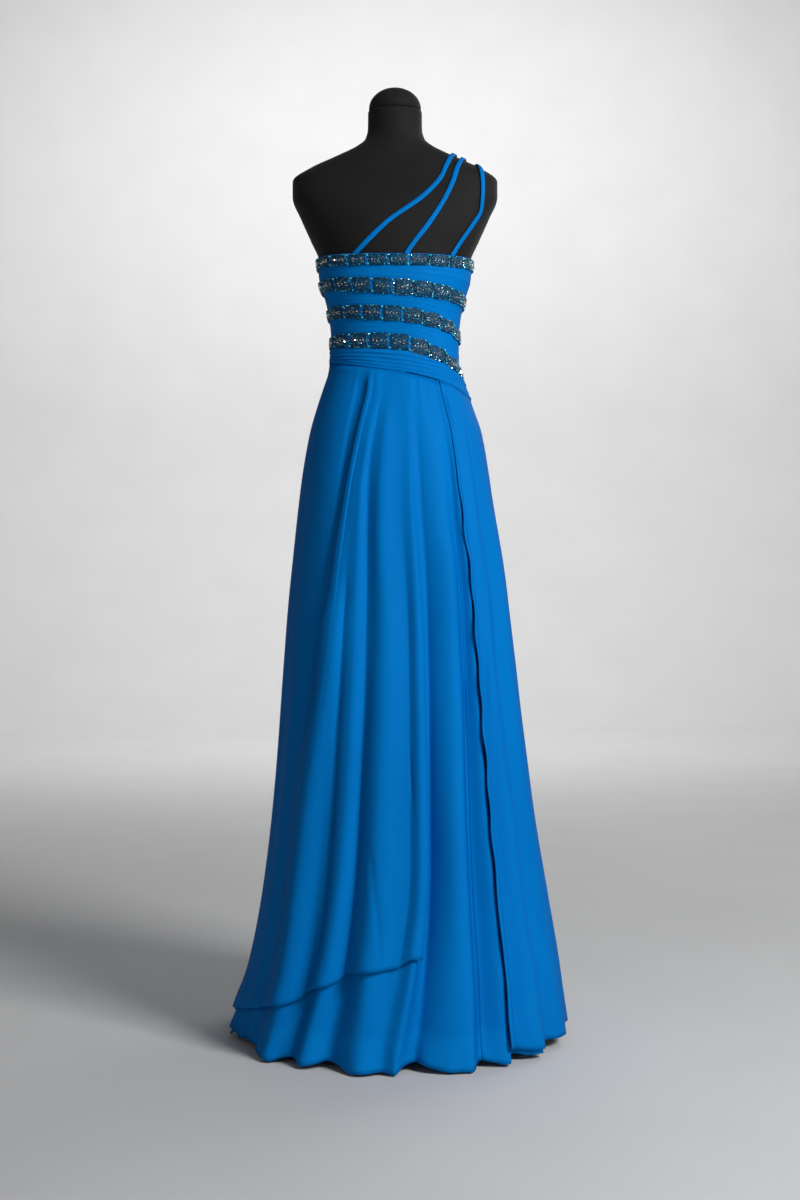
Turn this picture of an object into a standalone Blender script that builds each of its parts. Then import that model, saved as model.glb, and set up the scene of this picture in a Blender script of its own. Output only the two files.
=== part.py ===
"""Floor-length prom gown of thin cloth walls, resting on a limbless dress form.

Metres, +Z up. The origin is the middle of the stand's underside.
-Y is the back of the gown and +X is the wearer's right.
Azimuth 0 is the middle of the back, 90 the wearer's right, 180 the middle of the front.
"""
import math

import bmesh
import bpy
from mathutils import Vector

# Cloth and clearances
CLOTH_WALL = 0.0015
SEAM_GAP = 0.0004
LAYER_GAP = 0.0004
BODY_EASE = 0.0017
BAND_WALL = 0.0016
BAND_CROWN = 0.0011
BAND_GROOVE = 0.0007
SASH_WALL = 0.0014
SASH_PLEAT = 0.0011
SASH_PLEATS = 5
SASH_INNER_ROWS = 3
CHIFFON_PLEAT = 0.0009
CHIFFON_PLEATS = 2

BODICE_INNER_ROWS = 10

# Bodice columns: a block of beads, then a groove
BLOCKS = 20
BLOCK_START = 0.22
BLOCK_END = 0.78

# Form: rows of height, half width, back depth, front depth, squareness
BODY_COLUMNS = ("height", "half_width", "back", "front", "squareness")
BODY_ROWS = (
    (1.605, 0.0470, 0.0450, 0.0470, 2.0),
    (1.575, 0.0475, 0.0455, 0.0480, 2.0),
    (1.556, 0.0530, 0.0490, 0.0500, 2.0),
    (1.543, 0.0690, 0.0540, 0.0520, 2.0),
    (1.524, 0.1080, 0.0600, 0.0550, 2.1),
    (1.503, 0.1520, 0.0680, 0.0600, 2.3),
    (1.482, 0.1790, 0.0750, 0.0660, 2.5),
    (1.456, 0.1790, 0.0830, 0.0760, 2.6),
    (1.420, 0.1650, 0.0920, 0.0900, 2.5),
    (1.380, 0.1470, 0.0980, 0.1020, 2.4),
    (1.344, 0.1320, 0.0985, 0.1070, 2.3),
    (1.310, 0.1290, 0.0965, 0.1070, 2.2),
    (1.277, 0.1190, 0.0915, 0.1040, 2.2),
    (1.242, 0.1115, 0.0845, 0.0980, 2.1),
    (1.207, 0.1085, 0.0785, 0.0915, 2.1),
    (1.175, 0.1085, 0.0755, 0.0875, 2.1),
    (1.150, 0.1110, 0.0775, 0.0865, 2.1),
    (1.120, 0.1205, 0.0860, 0.0885, 2.1),
    (1.085, 0.1305, 0.0970, 0.0920, 2.1),
    (1.040, 0.1400, 0.1070, 0.0950, 2.1),
    (0.980, 0.1470, 0.1150, 0.0960, 2.2),
    (0.910, 0.1480, 0.1170, 0.0940, 2.2),
    (0.850, 0.1450, 0.1100, 0.0900, 2.2),
    (0.800, 0.1390, 0.1000, 0.0840, 2.2),
)
REST_TOP = 1.362
REST_FOOT = 1.062
REST_ROWS = 14
BUST_AZIMUTH = 37.0
BUST_SPREAD = 21.0
BUST_HEIGHT = 1.292
BUST_RISE = 0.042
BUST_DEPTH = 0.015

# Skirt inside surface: rows of height, left, right, back, front
SKIRT_TOP = 1.120
SKIRT_SQUARENESS = 2.1
SKIRT_COLUMNS = ("height", "left", "right", "back", "front")
SKIRT_ROWS = (
    (1.085, 0.1335, 0.1340, 0.1000, 0.0955),
    (1.040, 0.1455, 0.1490, 0.1160, 0.1060),
    (0.980, 0.1560, 0.1590, 0.1310, 0.1180),
    (0.930, 0.1620, 0.1660, 0.1420, 0.1280),
    (0.790, 0.1760, 0.1880, 0.1650, 0.1500),
    (0.650, 0.1870, 0.2030, 0.1850, 0.1720),
    (0.510, 0.1970, 0.2200, 0.2060, 0.1940),
    (0.370, 0.2090, 0.2390, 0.2280, 0.2170),
    (0.230, 0.2270, 0.2610, 0.2510, 0.2400),
    (0.120, 0.2490, 0.2810, 0.2710, 0.2620),
    (0.050, 0.2710, 0.2890, 0.2830, 0.2760),
    (0.000, 0.2860, 0.2940, 0.2910, 0.2860),
)

# Heights round the bodice at these azimuths
TRIM_AZIMUTHS = (-90.0, 0.0, 45.0, 90.0, 180.0)
NECKLINE = (1.3470, 1.3385, 1.3400, 1.3450, 1.3500)
NECKLINE_CUP = 0.016
TRIMS = {
    "beaded_band_2": ((1.2970, 1.2840, 1.2770, 1.2690, 1.2870), 0.026),
    "beaded_band_3": ((1.2485, 1.2400, 1.2270, 1.2075, 1.2340), 0.025),
    "beaded_band_4": ((1.1995, 1.1930, 1.1710, 1.1455, 1.1790), 0.027),
}
NECK_TRIM_DROP = 0.0012
NECK_TRIM_HEIGHT = 0.018
TRIM_SIDE_SHARE = 0.62
SASH_FOOT = (1.1640, 1.1425, 1.1240, 1.0990, 1.1350)

# Skirt folds: one row per crest or hollow, its azimuth and its offset in mm at each height
FOLD_HEIGHTS = (1.10, 0.93, 0.68, 0.34, 0.02)
FOLD_COLUMNS = ("name", "azimuths", "offsets_mm", "steps_to_next")
FOLDS = (
    ("side_left", (-90, -90, -90, -90, -90), (0, 0, 0, 0, 0), 4),
    ("hollow_a", (-30, -35, -47, -60, -62), (0, -3, -8, -14, -20), 2),
    ("crest_a", (-17, -26, -33, -44.5, -46), (0, 0, 0, 2, 3), 2),
    ("hollow_b", (-15, -22.5, -26.5, -33, -38), (0, 0, -5, -15, -22), 2),
    ("crest_b", (-13, -19.5, -20.5, -22.5, -31), (0, 0, -2, -4, -3), 2),
    ("hollow_c", (-10.5, -15.5, -14.5, -16, -23), (0, -7, -14, -22, -27), 2),
    ("crest_c", (-3, -5, -2, -4, -11), (0, 1, 1, 1, 2), 2),
    ("hollow_d", (3, 3, 7, 7, -4), (0, -4, -10, -12, -9), 2),
    ("left_edge", (8.5, 9, 12, 11.5, 0.5), (0, 0, 2, 3, 3), 2),
    ("hollow_e", (12.5, 16, 18, 15.5, 7), (0, -8, -17, -28, -33), 3),
    ("crest_d", (20, 29, 30, 27.5, 23), (0, 1, 3, 4, 5), 2),
    ("hollow_f", (34, 36, 36, 32.5, 29.5), (0, -6, -13, -20, -24), 2),
    ("right_edge", (37.5, 39, 40, 39, 37.5), (0, 1, 1, 0, 0), 2),
    ("hollow_g", (41, 42.5, 44, 44, 43), (0, -5, -9, -15, -20), 2),
    ("crest_e", (47, 52, 51.5, 52.5, 52), (0, 0, 0, 1, 2), 2),
    ("hollow_h", (53, 58, 57.5, 59, 60.5), (0, -4, -9, -15, -20), 2),
    ("crest_f", (67, 70, 70, 71, 72), (0, 0, 0, 0, 1), 2),
    ("hollow_i", (79, 80, 80, 81, 81.5), (0, -1, -3, -7, -12), 2),
    ("side_right", (90, 90, 90, 90, 90), (0, 0, 0, 0, 0), 2),
    ("hollow_j", (99, 101, 102, 103, 103), (0, -2, -6, -14, -21), 2),
    ("crest_g", (110, 113, 115, 116, 116), (0, 0, 0, 1, 2), 2),
    ("hollow_k", (121, 124, 127, 129, 128), (0, -4, -9, -18, -26), 2),
    ("right_front_edge", (134, 137, 139, 142, 143), (0, 1, 2, 3, 3), 2),
    ("hollow_l", (147, 150, 152, 155, 157), (0, -5, -12, -22, -30), 2),
    ("crest_h", (160, 162, 165, 168, 170), (0, 1, 2, 3, 4), 2),
    ("hollow_m", (172, 175, 178, 181, 184), (0, -4, -11, -20, -28), 2),
    ("crest_i", (186, 189, 191, 193, 197), (0, 1, 1, 2, 4), 2),
    ("hollow_n", (198, 202, 204, 206, 209), (0, -5, -12, -21, -27), 2),
    ("left_front_edge", (210, 213, 216, 219, 221), (0, 0, 1, 3, 3), 2),
    ("hollow_o", (222, 225, 228, 231, 234), (0, -4, -9, -17, -25), 2),
    ("crest_j", (235, 238, 241, 243, 245), (0, 0, 1, 2, 2), 2),
    ("hollow_p", (248, 250, 253, 255, 256), (0, -3, -7, -14, -20), 2),
)
FOLD_START = 0.05
SKIRT_SHARES = (0.0, 0.02, 0.05, 0.11, 0.20, 0.30, 0.41, 0.52, 0.63, 0.74, 0.84, 0.93, 1.0)
SHARED_SHARE = 0.74
SKIRT_HEM = 0.003

# Gores of the skirt: name, and the folds where its seams lie
GORES = (
    ("skirt_side_left_back", "side_left", "hollow_a"),
    ("skirt_back_left", "hollow_a", "hollow_b"),
    ("skirt_back_middle", "hollow_b", "hollow_f"),
    ("skirt_back_right", "hollow_f", "side_right"),
    ("skirt_front_right", "side_right", "hollow_l"),
    ("skirt_front_middle_right", "hollow_l", "hollow_m"),
    ("skirt_front_middle_left", "hollow_m", "hollow_n"),
    ("skirt_front_left", "hollow_n", "hollow_o"),
    ("skirt_left_front", "hollow_o", "hollow_p"),
    ("skirt_side_left_front", "hollow_p", "side_left"),
)

# Overlay hems: azimuth and height
LEFT_HEM = (
    (-139, 0.185), (-131, 0.135), (-118, 0.095), (-104, 0.058), (-90, 0.040), (-75, 0.052),
    (-62, 0.066), (-46, 0.088), (-33, 0.116), (-22, 0.139), (-12, 0.155), (-4, 0.161), (1, 0.164), (6, 0.180),
)
RIGHT_HEM = ((37, 0.030), (44, 0.018), (60, 0.013), (90, 0.012), (120, 0.020), (132, 0.032), (144, 0.062))
SKIRT_DROP = 0.0014
OVERLAY_STAND = 0.0035
EDGE_LIFT = 0.005
EDGE_LIFT_COLUMNS = 3

# Straps: sideways place at each angle round the shoulder
STRAP_WIDTH = 0.0085
STRAP_THICKNESS = 0.0028
STRAP_CLEARANCE = 0.0019
STRAP_SEGMENTS = 20
STRAP_PIVOT_HEIGHT = 1.400
STRAP_ANGLES = (-36.0, -5.0, 25.0, 50.0, 90.0, 140.0, 216.0)
STRAPS = {
    "strap_1": (-0.071, -0.014, 0.050, 0.083, 0.104, 0.105, 0.086),
    "strap_2": (0.014, 0.058, 0.086, 0.103, 0.120, 0.119, 0.099),
    "strap_3": (0.093, 0.137, 0.150, 0.152, 0.143, 0.135, 0.113),
}

# Stand
CAP_SEGMENTS = 20
CAP_STEPS = 6
CAP_CHAMFER = 0.0015
POLE_SEGMENTS = 16
BASE_SEGMENTS = 22
COLLAR_SEGMENTS = 16
CAP_RADIUS = 0.0455
CAP_FOOT = 1.6055
CAP_LIP = 0.006
CAP_CROWN = 0.0355
POLE_RADIUS = 0.0140
BASE_RADIUS = 0.150
BASE_EDGE = 0.010
BASE_HEIGHT = 0.024
BASE_BEVEL = 0.004
COLLAR_RADIUS = 0.026
COLLAR_HEIGHT = 0.032

# Colours
AZURE = (0.005, 0.150, 0.520, 1.0)
AZURE_DEEP = (0.004, 0.110, 0.420, 1.0)
TRIM_COLOUR = (0.130, 0.330, 0.390, 1.0)
BLACK_CLOTH = (0.010, 0.010, 0.011, 1.0)
BLACK_METAL = (0.015, 0.015, 0.016, 1.0)


class Curve:
    """Smooth line through short tables, without overshoot between its rows."""

    def __init__(self, places, values):
        pairs = sorted(zip(places, values))
        self.x = [float(pair[0]) for pair in pairs]
        self.y = [float(pair[1]) for pair in pairs]
        slopes = []
        for i in range(len(pairs) - 1):
            slopes.append((self.y[i + 1] - self.y[i]) / (self.x[i + 1] - self.x[i]))
        self.m = [slopes[0]]
        for before, after in zip(slopes, slopes[1:]):
            even = before * after > 0
            self.m.append(2 * before * after / (before + after) if even else 0.0)
        self.m.append(slopes[-1])

    def __call__(self, place):
        place = min(max(place, self.x[0]), self.x[-1])
        i = 0
        while i < len(self.x) - 2 and place > self.x[i + 1]:
            i += 1
        width = self.x[i + 1] - self.x[i]
        t = (place - self.x[i]) / width
        start = (1 + 2 * t) * (1 - t) ** 2 * self.y[i] + t * (1 - t) ** 2 * width * self.m[i]
        end = t * t * (3 - 2 * t) * self.y[i + 1] - t * t * (1 - t) * width * self.m[i + 1]
        return start + end


def round_curve(values):
    """Closed curve over the azimuth from the heights at TRIM_AZIMUTHS."""
    places = []
    heights = []
    for turn in (-360, 0, 360):
        places += [azimuth + turn for azimuth in TRIM_AZIMUTHS]
        heights += values
    return Curve(places, heights)


def wrap(azimuth):
    """Azimuth from -180 to 180."""
    return (azimuth + 180) % 360 - 180


def eased(share):
    """0 to 1 with soft ends."""
    share = min(max(share, 0.0), 1.0)
    return share * share * (3 - 2 * share)


body_heights = [row[0] for row in BODY_ROWS]
BODY = [Curve(body_heights, [row[i] for row in BODY_ROWS]) for i in range(1, len(BODY_COLUMNS))]
HALF_WIDTH, BACK, FRONT, SQUARENESS = BODY
top_sizes = (HALF_WIDTH(SKIRT_TOP), HALF_WIDTH(SKIRT_TOP), BACK(SKIRT_TOP), FRONT(SKIRT_TOP))
skirt_rows = [(SKIRT_TOP,) + tuple(size + BODY_EASE for size in top_sizes)] + list(SKIRT_ROWS)
skirt_heights = [row[0] for row in skirt_rows]
SKIRT = [Curve(skirt_heights, [row[i] for row in skirt_rows]) for i in range(1, len(SKIRT_COLUMNS))]


def ring_point(azimuth, height, left, right, back, front, squareness):
    """Point on a rounded section."""
    s = math.sin(math.radians(azimuth))
    c = math.cos(math.radians(azimuth))
    power = 2 / squareness
    side = right if s > 0 else left
    depth = back if c > 0 else front
    x = side * math.copysign(abs(s) ** power, s)
    y = -depth * math.copysign(abs(c) ** power, c)
    return Vector((x, y, height))


def bust(azimuth, height):
    """Rise of the front over the bust."""
    away = abs(180 - abs(wrap(azimuth)))
    across = math.exp(-((away - BUST_AZIMUTH) / BUST_SPREAD) ** 2)
    upward = math.exp(-((height - BUST_HEIGHT) / BUST_RISE) ** 2)
    return BUST_DEPTH * across * upward


def body_point(azimuth, height, ease=0.0):
    """Point on the form, or on the cloth laid on it."""
    width = HALF_WIDTH(height) + ease
    back = BACK(height) + ease
    front = FRONT(height) + ease + bust(azimuth, height)
    return ring_point(azimuth, height, width, width, back, front, SQUARENESS(height))


def base_point(azimuth, height):
    """Inside surface of the gown without its folds."""
    if height >= SKIRT_TOP:
        return body_point(azimuth, height, BODY_EASE)
    sizes = [curve(height) for curve in SKIRT]
    return ring_point(azimuth, height, *sizes, SKIRT_SQUARENESS)


def base_normal(azimuth, height):
    """Outward direction of the inside surface."""
    step = 0.4
    rise = 0.002
    along = base_point(azimuth + step, height) - base_point(azimuth - step, height)
    upward = base_point(azimuth, height + rise) - base_point(azimuth, height - rise)
    return along.cross(upward).normalized()


def lifted(azimuth, height, offset):
    """Point of the gown's inside surface moved outward."""
    return base_point(azimuth, height) + base_normal(azimuth, height) * offset


def neckline(azimuth):
    """Top edge of the bodice."""
    away = abs(180 - abs(wrap(azimuth)))
    cup = math.exp(-((away - BUST_AZIMUTH) / BUST_SPREAD) ** 2)
    return NECK_HEIGHT(wrap(azimuth)) + NECKLINE_CUP * cup


NECK_HEIGHT = round_curve(NECKLINE)
SASH_EDGE = round_curve(SASH_FOOT)
TRIM_MIDDLES = {name: round_curve(values) for name, (values, height) in TRIMS.items()}


def trim_edges(name, azimuth):
    """Upper and lower edge of a beaded trim."""
    if name == "beaded_band_1":
        top = neckline(azimuth) - NECK_TRIM_DROP
        return top, top - NECK_TRIM_HEIGHT
    facing = abs(math.cos(math.radians(azimuth)))
    half = TRIMS[name][1] * (TRIM_SIDE_SHARE + (1 - TRIM_SIDE_SHARE) * facing) / 2
    middle = TRIM_MIDDLES[name](wrap(azimuth))
    return middle + half, middle - half


TRIM_NAMES = ["beaded_band_1"] + list(TRIMS)


def bodice_azimuths():
    """Columns shared by the bodice, the trims and the sash, from -90 round to 270."""
    pitch = 360 / BLOCKS
    places = []
    for i in range(BLOCKS):
        for share in (0.0, BLOCK_START, BLOCK_END):
            places.append(-90 + (i + share) * pitch)
    return places


def material(name, colour, roughness, metallic=0.0, sheen=0.0):
    """Principled material."""
    made = bpy.data.materials.new(name)
    made.use_nodes = True
    shader = made.node_tree.nodes["Principled BSDF"]
    shader.inputs["Base Color"].default_value = colour
    shader.inputs["Roughness"].default_value = roughness
    shader.inputs["Metallic"].default_value = metallic
    shader.inputs["Sheen Weight"].default_value = sheen
    made.diffuse_color = colour
    return made


def add_object(name, points, faces, look):
    """One closed body with smooth shading."""
    mesh = bpy.data.meshes.new(name)
    mesh.from_pydata([tuple(point) for point in points], [], faces)
    work = bmesh.new()
    work.from_mesh(mesh)
    bmesh.ops.triangulate(work, faces=work.faces)
    bmesh.ops.recalc_face_normals(work, faces=work.faces)
    if work.calc_volume(signed=True) < 0:
        bmesh.ops.reverse_faces(work, faces=work.faces)
    for face in work.faces:
        face.smooth = True
    work.to_mesh(mesh)
    work.free()
    mesh.materials.append(look)
    made = bpy.data.objects.new(name, mesh)
    bpy.context.scene.collection.objects.link(made)
    return made


def band_faces(first, second, closed):
    """Quads between two lines of point numbers of the same length."""
    count = len(first) if closed else len(first) - 1
    faces = []
    for i in range(count):
        j = (i + 1) % len(first)
        faces.append((first[i], first[j], second[j], second[i]))
    return faces


def add_wall(name, outer, inner, closed, look):
    """Wall between an outer and an inner set of rows; both run from the top edge to the bottom edge."""
    points = []
    lines = []
    for row in list(outer) + list(reversed(inner)):
        lines.append(list(range(len(points), len(points) + len(row))))
        points += row
    faces = []
    for i in range(len(lines)):
        faces += band_faces(lines[i], lines[(i + 1) % len(lines)], closed)
    if not closed:
        faces += end_faces([line[0] for line in lines], len(outer))
        faces += end_faces([line[-1] for line in lines], len(outer))
    return add_object(name, points, faces, look)


def end_faces(column, outer_count):
    """Triangles that close an open side between its outer and inner points."""
    outer = column[:outer_count]
    inner = list(reversed(column[outer_count:]))
    faces = []
    i = 0
    j = 0
    while i < len(outer) - 1 or j < len(inner) - 1:
        outer_share = (i + 1) / (len(outer) - 1) if i < len(outer) - 1 else math.inf
        inner_share = (j + 1) / (len(inner) - 1) if j < len(inner) - 1 else math.inf
        if outer_share <= inner_share:
            faces.append((outer[i], outer[i + 1], inner[j]))
            i += 1
        else:
            faces.append((outer[i], inner[j + 1], inner[j]))
            j += 1
    return faces


def bodice_levels(azimuth):
    """Heights and pleat rises down one column of the bodice's outside."""
    levels = [(neckline(azimuth), 0.0)]
    low = None
    for name in TRIM_NAMES:
        top, bottom = trim_edges(name, azimuth)
        if low is not None:
            for i in range(1, 2 * CHIFFON_PLEATS):
                share = i / (2 * CHIFFON_PLEATS)
                levels.append((low + (top - low) * share, CHIFFON_PLEAT if i % 2 else 0.0))
            levels.append((top, 0.0))
        if name != TRIM_NAMES[-1]:
            levels.append((bottom, 0.0))
        low = bottom
    for height in sash_levels(azimuth):
        levels.append((height, 0.0))
    return levels


def sash_levels(azimuth):
    """Heights where the sash rests on the bodice, from its top edge to its foot."""
    top = trim_edges("beaded_band_4", azimuth)[1] - SEAM_GAP
    bottom = SASH_EDGE(wrap(azimuth))
    return [top + (bottom - top) * i / (SASH_INNER_ROWS - 1) for i in range(SASH_INNER_ROWS)]


def build_bodice(look):
    """Back and front, split at the side seams."""
    azimuths = bodice_azimuths()
    half = len(azimuths) // 2
    sides = {"bodice_back": azimuths[:half + 1], "bodice_front": azimuths[half:] + [270.0]}
    for name, columns in sides.items():
        shift = math.degrees(SEAM_GAP / 2 / HALF_WIDTH(BUST_HEIGHT))
        columns = [columns[0] + shift] + columns[1:-1] + [columns[-1] - shift]
        levels = [bodice_levels(azimuth) for azimuth in columns]
        outer = []
        for i in range(len(levels[0])):
            row = []
            for azimuth, column in zip(columns, levels):
                height, rise = column[i]
                row.append(lifted(azimuth, height, CLOTH_WALL + rise))
            outer.append(row)
        inner = []
        for i in range(BODICE_INNER_ROWS):
            row = []
            for azimuth, column in zip(columns, levels):
                height = column[0][0] + (column[-1][0] - column[0][0]) * i / (BODICE_INNER_ROWS - 1)
                row.append(lifted(azimuth, height, 0.0))
            inner.append(row)
        add_wall(name, outer, inner, False, look)


def build_trims(look):
    """Four rings of bead blocks on the bodice."""
    azimuths = bodice_azimuths()
    inside = CLOTH_WALL + LAYER_GAP
    for name in TRIM_NAMES:
        outer = [[], [], []]
        inner = [[], []]
        for i, azimuth in enumerate(azimuths):
            top, bottom = trim_edges(name, azimuth)
            groove = i % 3 == 0
            wall = BAND_WALL - BAND_GROOVE if groove else BAND_WALL
            crown = 0.0 if groove else BAND_CROWN
            outer[0].append(lifted(azimuth, top, inside + wall))
            outer[1].append(lifted(azimuth, (top + bottom) / 2, inside + wall + crown))
            outer[2].append(lifted(azimuth, bottom, inside + wall))
            inner[0].append(lifted(azimuth, top, inside))
            inner[1].append(lifted(azimuth, bottom, inside))
        add_wall(name, outer, inner, True, look)


def build_sash(look):
    """Waistband of long pleats laid side by side."""
    azimuths = bodice_azimuths()
    inside = CLOTH_WALL + LAYER_GAP
    rows = 2 * SASH_PLEATS
    outer = [[] for i in range(rows + 1)]
    inner = [[] for i in range(SASH_INNER_ROWS)]
    for azimuth in azimuths:
        levels = sash_levels(azimuth)
        top = levels[0]
        bottom = levels[-1]
        for i in range(rows + 1):
            height = top + (bottom - top) * i / rows
            rise = SASH_PLEAT if i % 2 else 0.0
            outer[i].append(lifted(azimuth, height, inside + SASH_WALL + rise))
        for i, height in enumerate(levels):
            inner[i].append(lifted(azimuth, height, inside))
    add_wall("sash", outer, inner, True, look)


class FoldColumn:
    """One line of points down the skirt, between two rows of FOLDS."""

    def __init__(self, number, share):
        here = FOLDS[number]
        after = FOLDS[(number + 1) % len(FOLDS)]
        turn = 360 if number + 1 == len(FOLDS) else 0
        self.share = share
        self.start = Curve(FOLD_HEIGHTS, here[1])
        self.end = Curve(FOLD_HEIGHTS, [azimuth + turn for azimuth in after[1]])
        self.rise = Curve(FOLD_HEIGHTS, here[2])
        self.end_rise = Curve(FOLD_HEIGHTS, after[2])

    def azimuth(self, height):
        return self.start(height) + (self.end(height) - self.start(height)) * self.share

    def offset(self, height):
        blend = eased(self.share)
        return (self.rise(height) * (1 - blend) + self.end_rise(height) * blend) / 1000

    def point(self, top, hem, share):
        """Point at a share of the way from the top edge to the hem."""
        height = 0.6
        for i in range(6):
            azimuth = self.azimuth(height)
            height = top(azimuth) + (hem(azimuth) - top(azimuth)) * share
        fold = self.offset(height) * eased(share / FOLD_START)
        spot = base_point(azimuth, height)
        along = base_point(azimuth + 0.4, height) - base_point(azimuth - 0.4, height)
        outward = Vector((along.y, -along.x, 0)).normalized()
        return spot + outward * fold


def fold_columns():
    """All columns round the skirt, and the column number of each named fold."""
    columns = []
    numbers = {}
    for number, row in enumerate(FOLDS):
        numbers[row[0]] = len(columns)
        for i in range(row[3]):
            columns.append(FoldColumn(number, i / row[3]))
    return columns, numbers


def grid_normals(grid):
    """Outward directions of a closed grid of rows."""
    normals = []
    for i, row in enumerate(grid):
        above = grid[max(i - 1, 0)]
        below = grid[min(i + 1, len(grid) - 1)]
        line = []
        for j in range(len(row)):
            along = row[(j + 1) % len(row)] - row[j - 1]
            line.append(along.cross(above[j] - below[j]).normalized())
        normals.append(line)
    return normals


def skirt_grid(columns, top, hem, shares):
    """Points and outward directions, a row per share and a column per fold column."""
    grid = [[column.point(top, hem, share) for column in columns] for share in shares]
    return grid, grid_normals(grid)


def layer(grid, normals, picks, offsets):
    """Rows of points moved outward, for the columns picked."""
    rows = []
    for i, row in enumerate(grid):
        rows.append([row[j] + normals[i][j] * offsets(i, k) for k, j in enumerate(picks)])
    return rows


def trimmed(rows, first, last):
    """The same rows with their first and last points drawn in from a seam by these lengths."""
    for row in rows:
        row[0] = row[0] + (row[1] - row[0]).normalized() * first
        row[-1] = row[-1] + (row[-2] - row[-1]).normalized() * last
    return rows


def fold_span(numbers, count, first, last):
    """Column numbers from one named fold round to another."""
    start = numbers[first]
    end = numbers[last]
    if end <= start:
        end += count
    return [number % count for number in range(start, end + 1)]


def skirt_top(azimuth):
    """Top edge of the skirt and its overlays, against the sash."""
    return SASH_EDGE(wrap(azimuth)) - SKIRT_DROP


def build_skirt(look):
    """Ten gores, with their seams down hollows of the folds."""
    columns, numbers = fold_columns()
    grid, normals = skirt_grid(columns, skirt_top, lambda azimuth: SKIRT_HEM, SKIRT_SHARES)
    half_gap = SEAM_GAP / 2
    for name, first, last in GORES:
        chosen = fold_span(numbers, len(columns), first, last)
        outer = trimmed(layer(grid, normals, chosen, lambda i, k: CLOTH_WALL), half_gap, half_gap)
        inner = trimmed(layer(grid, normals, chosen, lambda i, k: 0.0), half_gap, half_gap)
        add_wall(name, outer, inner, False, look)


def build_overlay(names, folds, hem_rows, look):
    """Outer layer between two free edges, in two panels joined at the side seam."""
    columns, numbers = fold_columns()
    hem_curve = Curve([row[0] for row in hem_rows], [row[1] for row in hem_rows])
    first, seam, last = folds
    chosen = fold_span(numbers, len(columns), first, last)
    count = len(chosen)

    def hem(azimuth):
        return hem_curve(wrap(azimuth))

    def full_hem(azimuth):
        return SKIRT_HEM

    def stand(i, k):
        share = SKIRT_SHARES[i]
        lift = max(0.0, 1 - min(k, count - 1 - k) / EDGE_LIFT_COLUMNS)
        rise = OVERLAY_STAND * eased(share / 0.5) + EDGE_LIFT * lift * lift * eased(share / 0.6)
        return CLOTH_WALL + LAYER_GAP + rise

    upper = [share for share in SKIRT_SHARES if share <= SHARED_SHARE]
    lower = [share for share in SKIRT_SHARES if share > SHARED_SHARE]
    rows = [[column.point(skirt_top, full_hem, share) for column in columns] for share in upper]
    for share in lower:
        part = (share - SHARED_SHARE) / (1 - SHARED_SHARE)
        row = []
        for column in columns:
            start = column.point(skirt_top, full_hem, SHARED_SHARE)
            azimuth = column.azimuth(hem(column.azimuth(0.1)))
            low = hem(azimuth)
            height = start.z + (low - start.z) * part
            whole = skirt_top(azimuth) - SKIRT_HEM
            row.append(column.point(skirt_top, full_hem, (skirt_top(azimuth) - height) / whole))
        rows.append(row)
    normals = grid_normals(rows)
    outer = layer(rows, normals, chosen, lambda i, k: stand(i, k) + CLOTH_WALL)
    inner = layer(rows, normals, chosen, stand)
    cut = chosen.index(numbers[seam])
    half_gap = SEAM_GAP / 2
    panels = ((names[0], 0, cut + 1, 0.0, half_gap), (names[1], cut, count, half_gap, 0.0))
    for name, start, stop, first_gap, last_gap in panels:
        panel_outer = trimmed([row[start:stop] for row in outer], first_gap, last_gap)
        panel_inner = trimmed([row[start:stop] for row in inner], first_gap, last_gap)
        add_wall(name, panel_outer, panel_inner, False, look)


def surface_from(origin, direction):
    """Point where a ray from inside the form leaves it."""
    low = 0.0
    high = 0.3
    for i in range(40):
        middle = (low + high) / 2
        spot = origin + direction * middle
        inside = spot.z < BODY_ROWS[0][0]
        if inside:
            width = HALF_WIDTH(spot.z)
            depth = BACK(spot.z) if spot.y < 0 else FRONT(spot.z)
            power = SQUARENESS(spot.z)
            inside = (abs(spot.x) / width) ** power + (abs(spot.y) / depth) ** power < 1
        low, high = (middle, high) if inside else (low, middle)
    return origin + direction * low


def build_straps(look):
    """Three turned tubes over the shoulder."""
    for name, places in STRAPS.items():
        sideways = Curve(STRAP_ANGLES, places)
        build_strap(name, sideways, look)


def strap_spot(sideways, angle):
    """Point on the form under the strap."""
    turned = math.radians(angle)
    origin = Vector((sideways(angle), 0, STRAP_PIVOT_HEIGHT))
    return surface_from(origin, Vector((0, -math.cos(turned), math.sin(turned))))


def strap_limit(sideways, start, step):
    """Angle at which the strap meets the neckline."""
    angle = start
    while True:
        spot = strap_spot(sideways, angle)
        azimuth = math.degrees(math.atan2(spot.x / HALF_WIDTH(spot.z), -spot.y / BACK(spot.z)))
        if spot.z > neckline(azimuth) + SEAM_GAP:
            return angle
        angle += step


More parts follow.
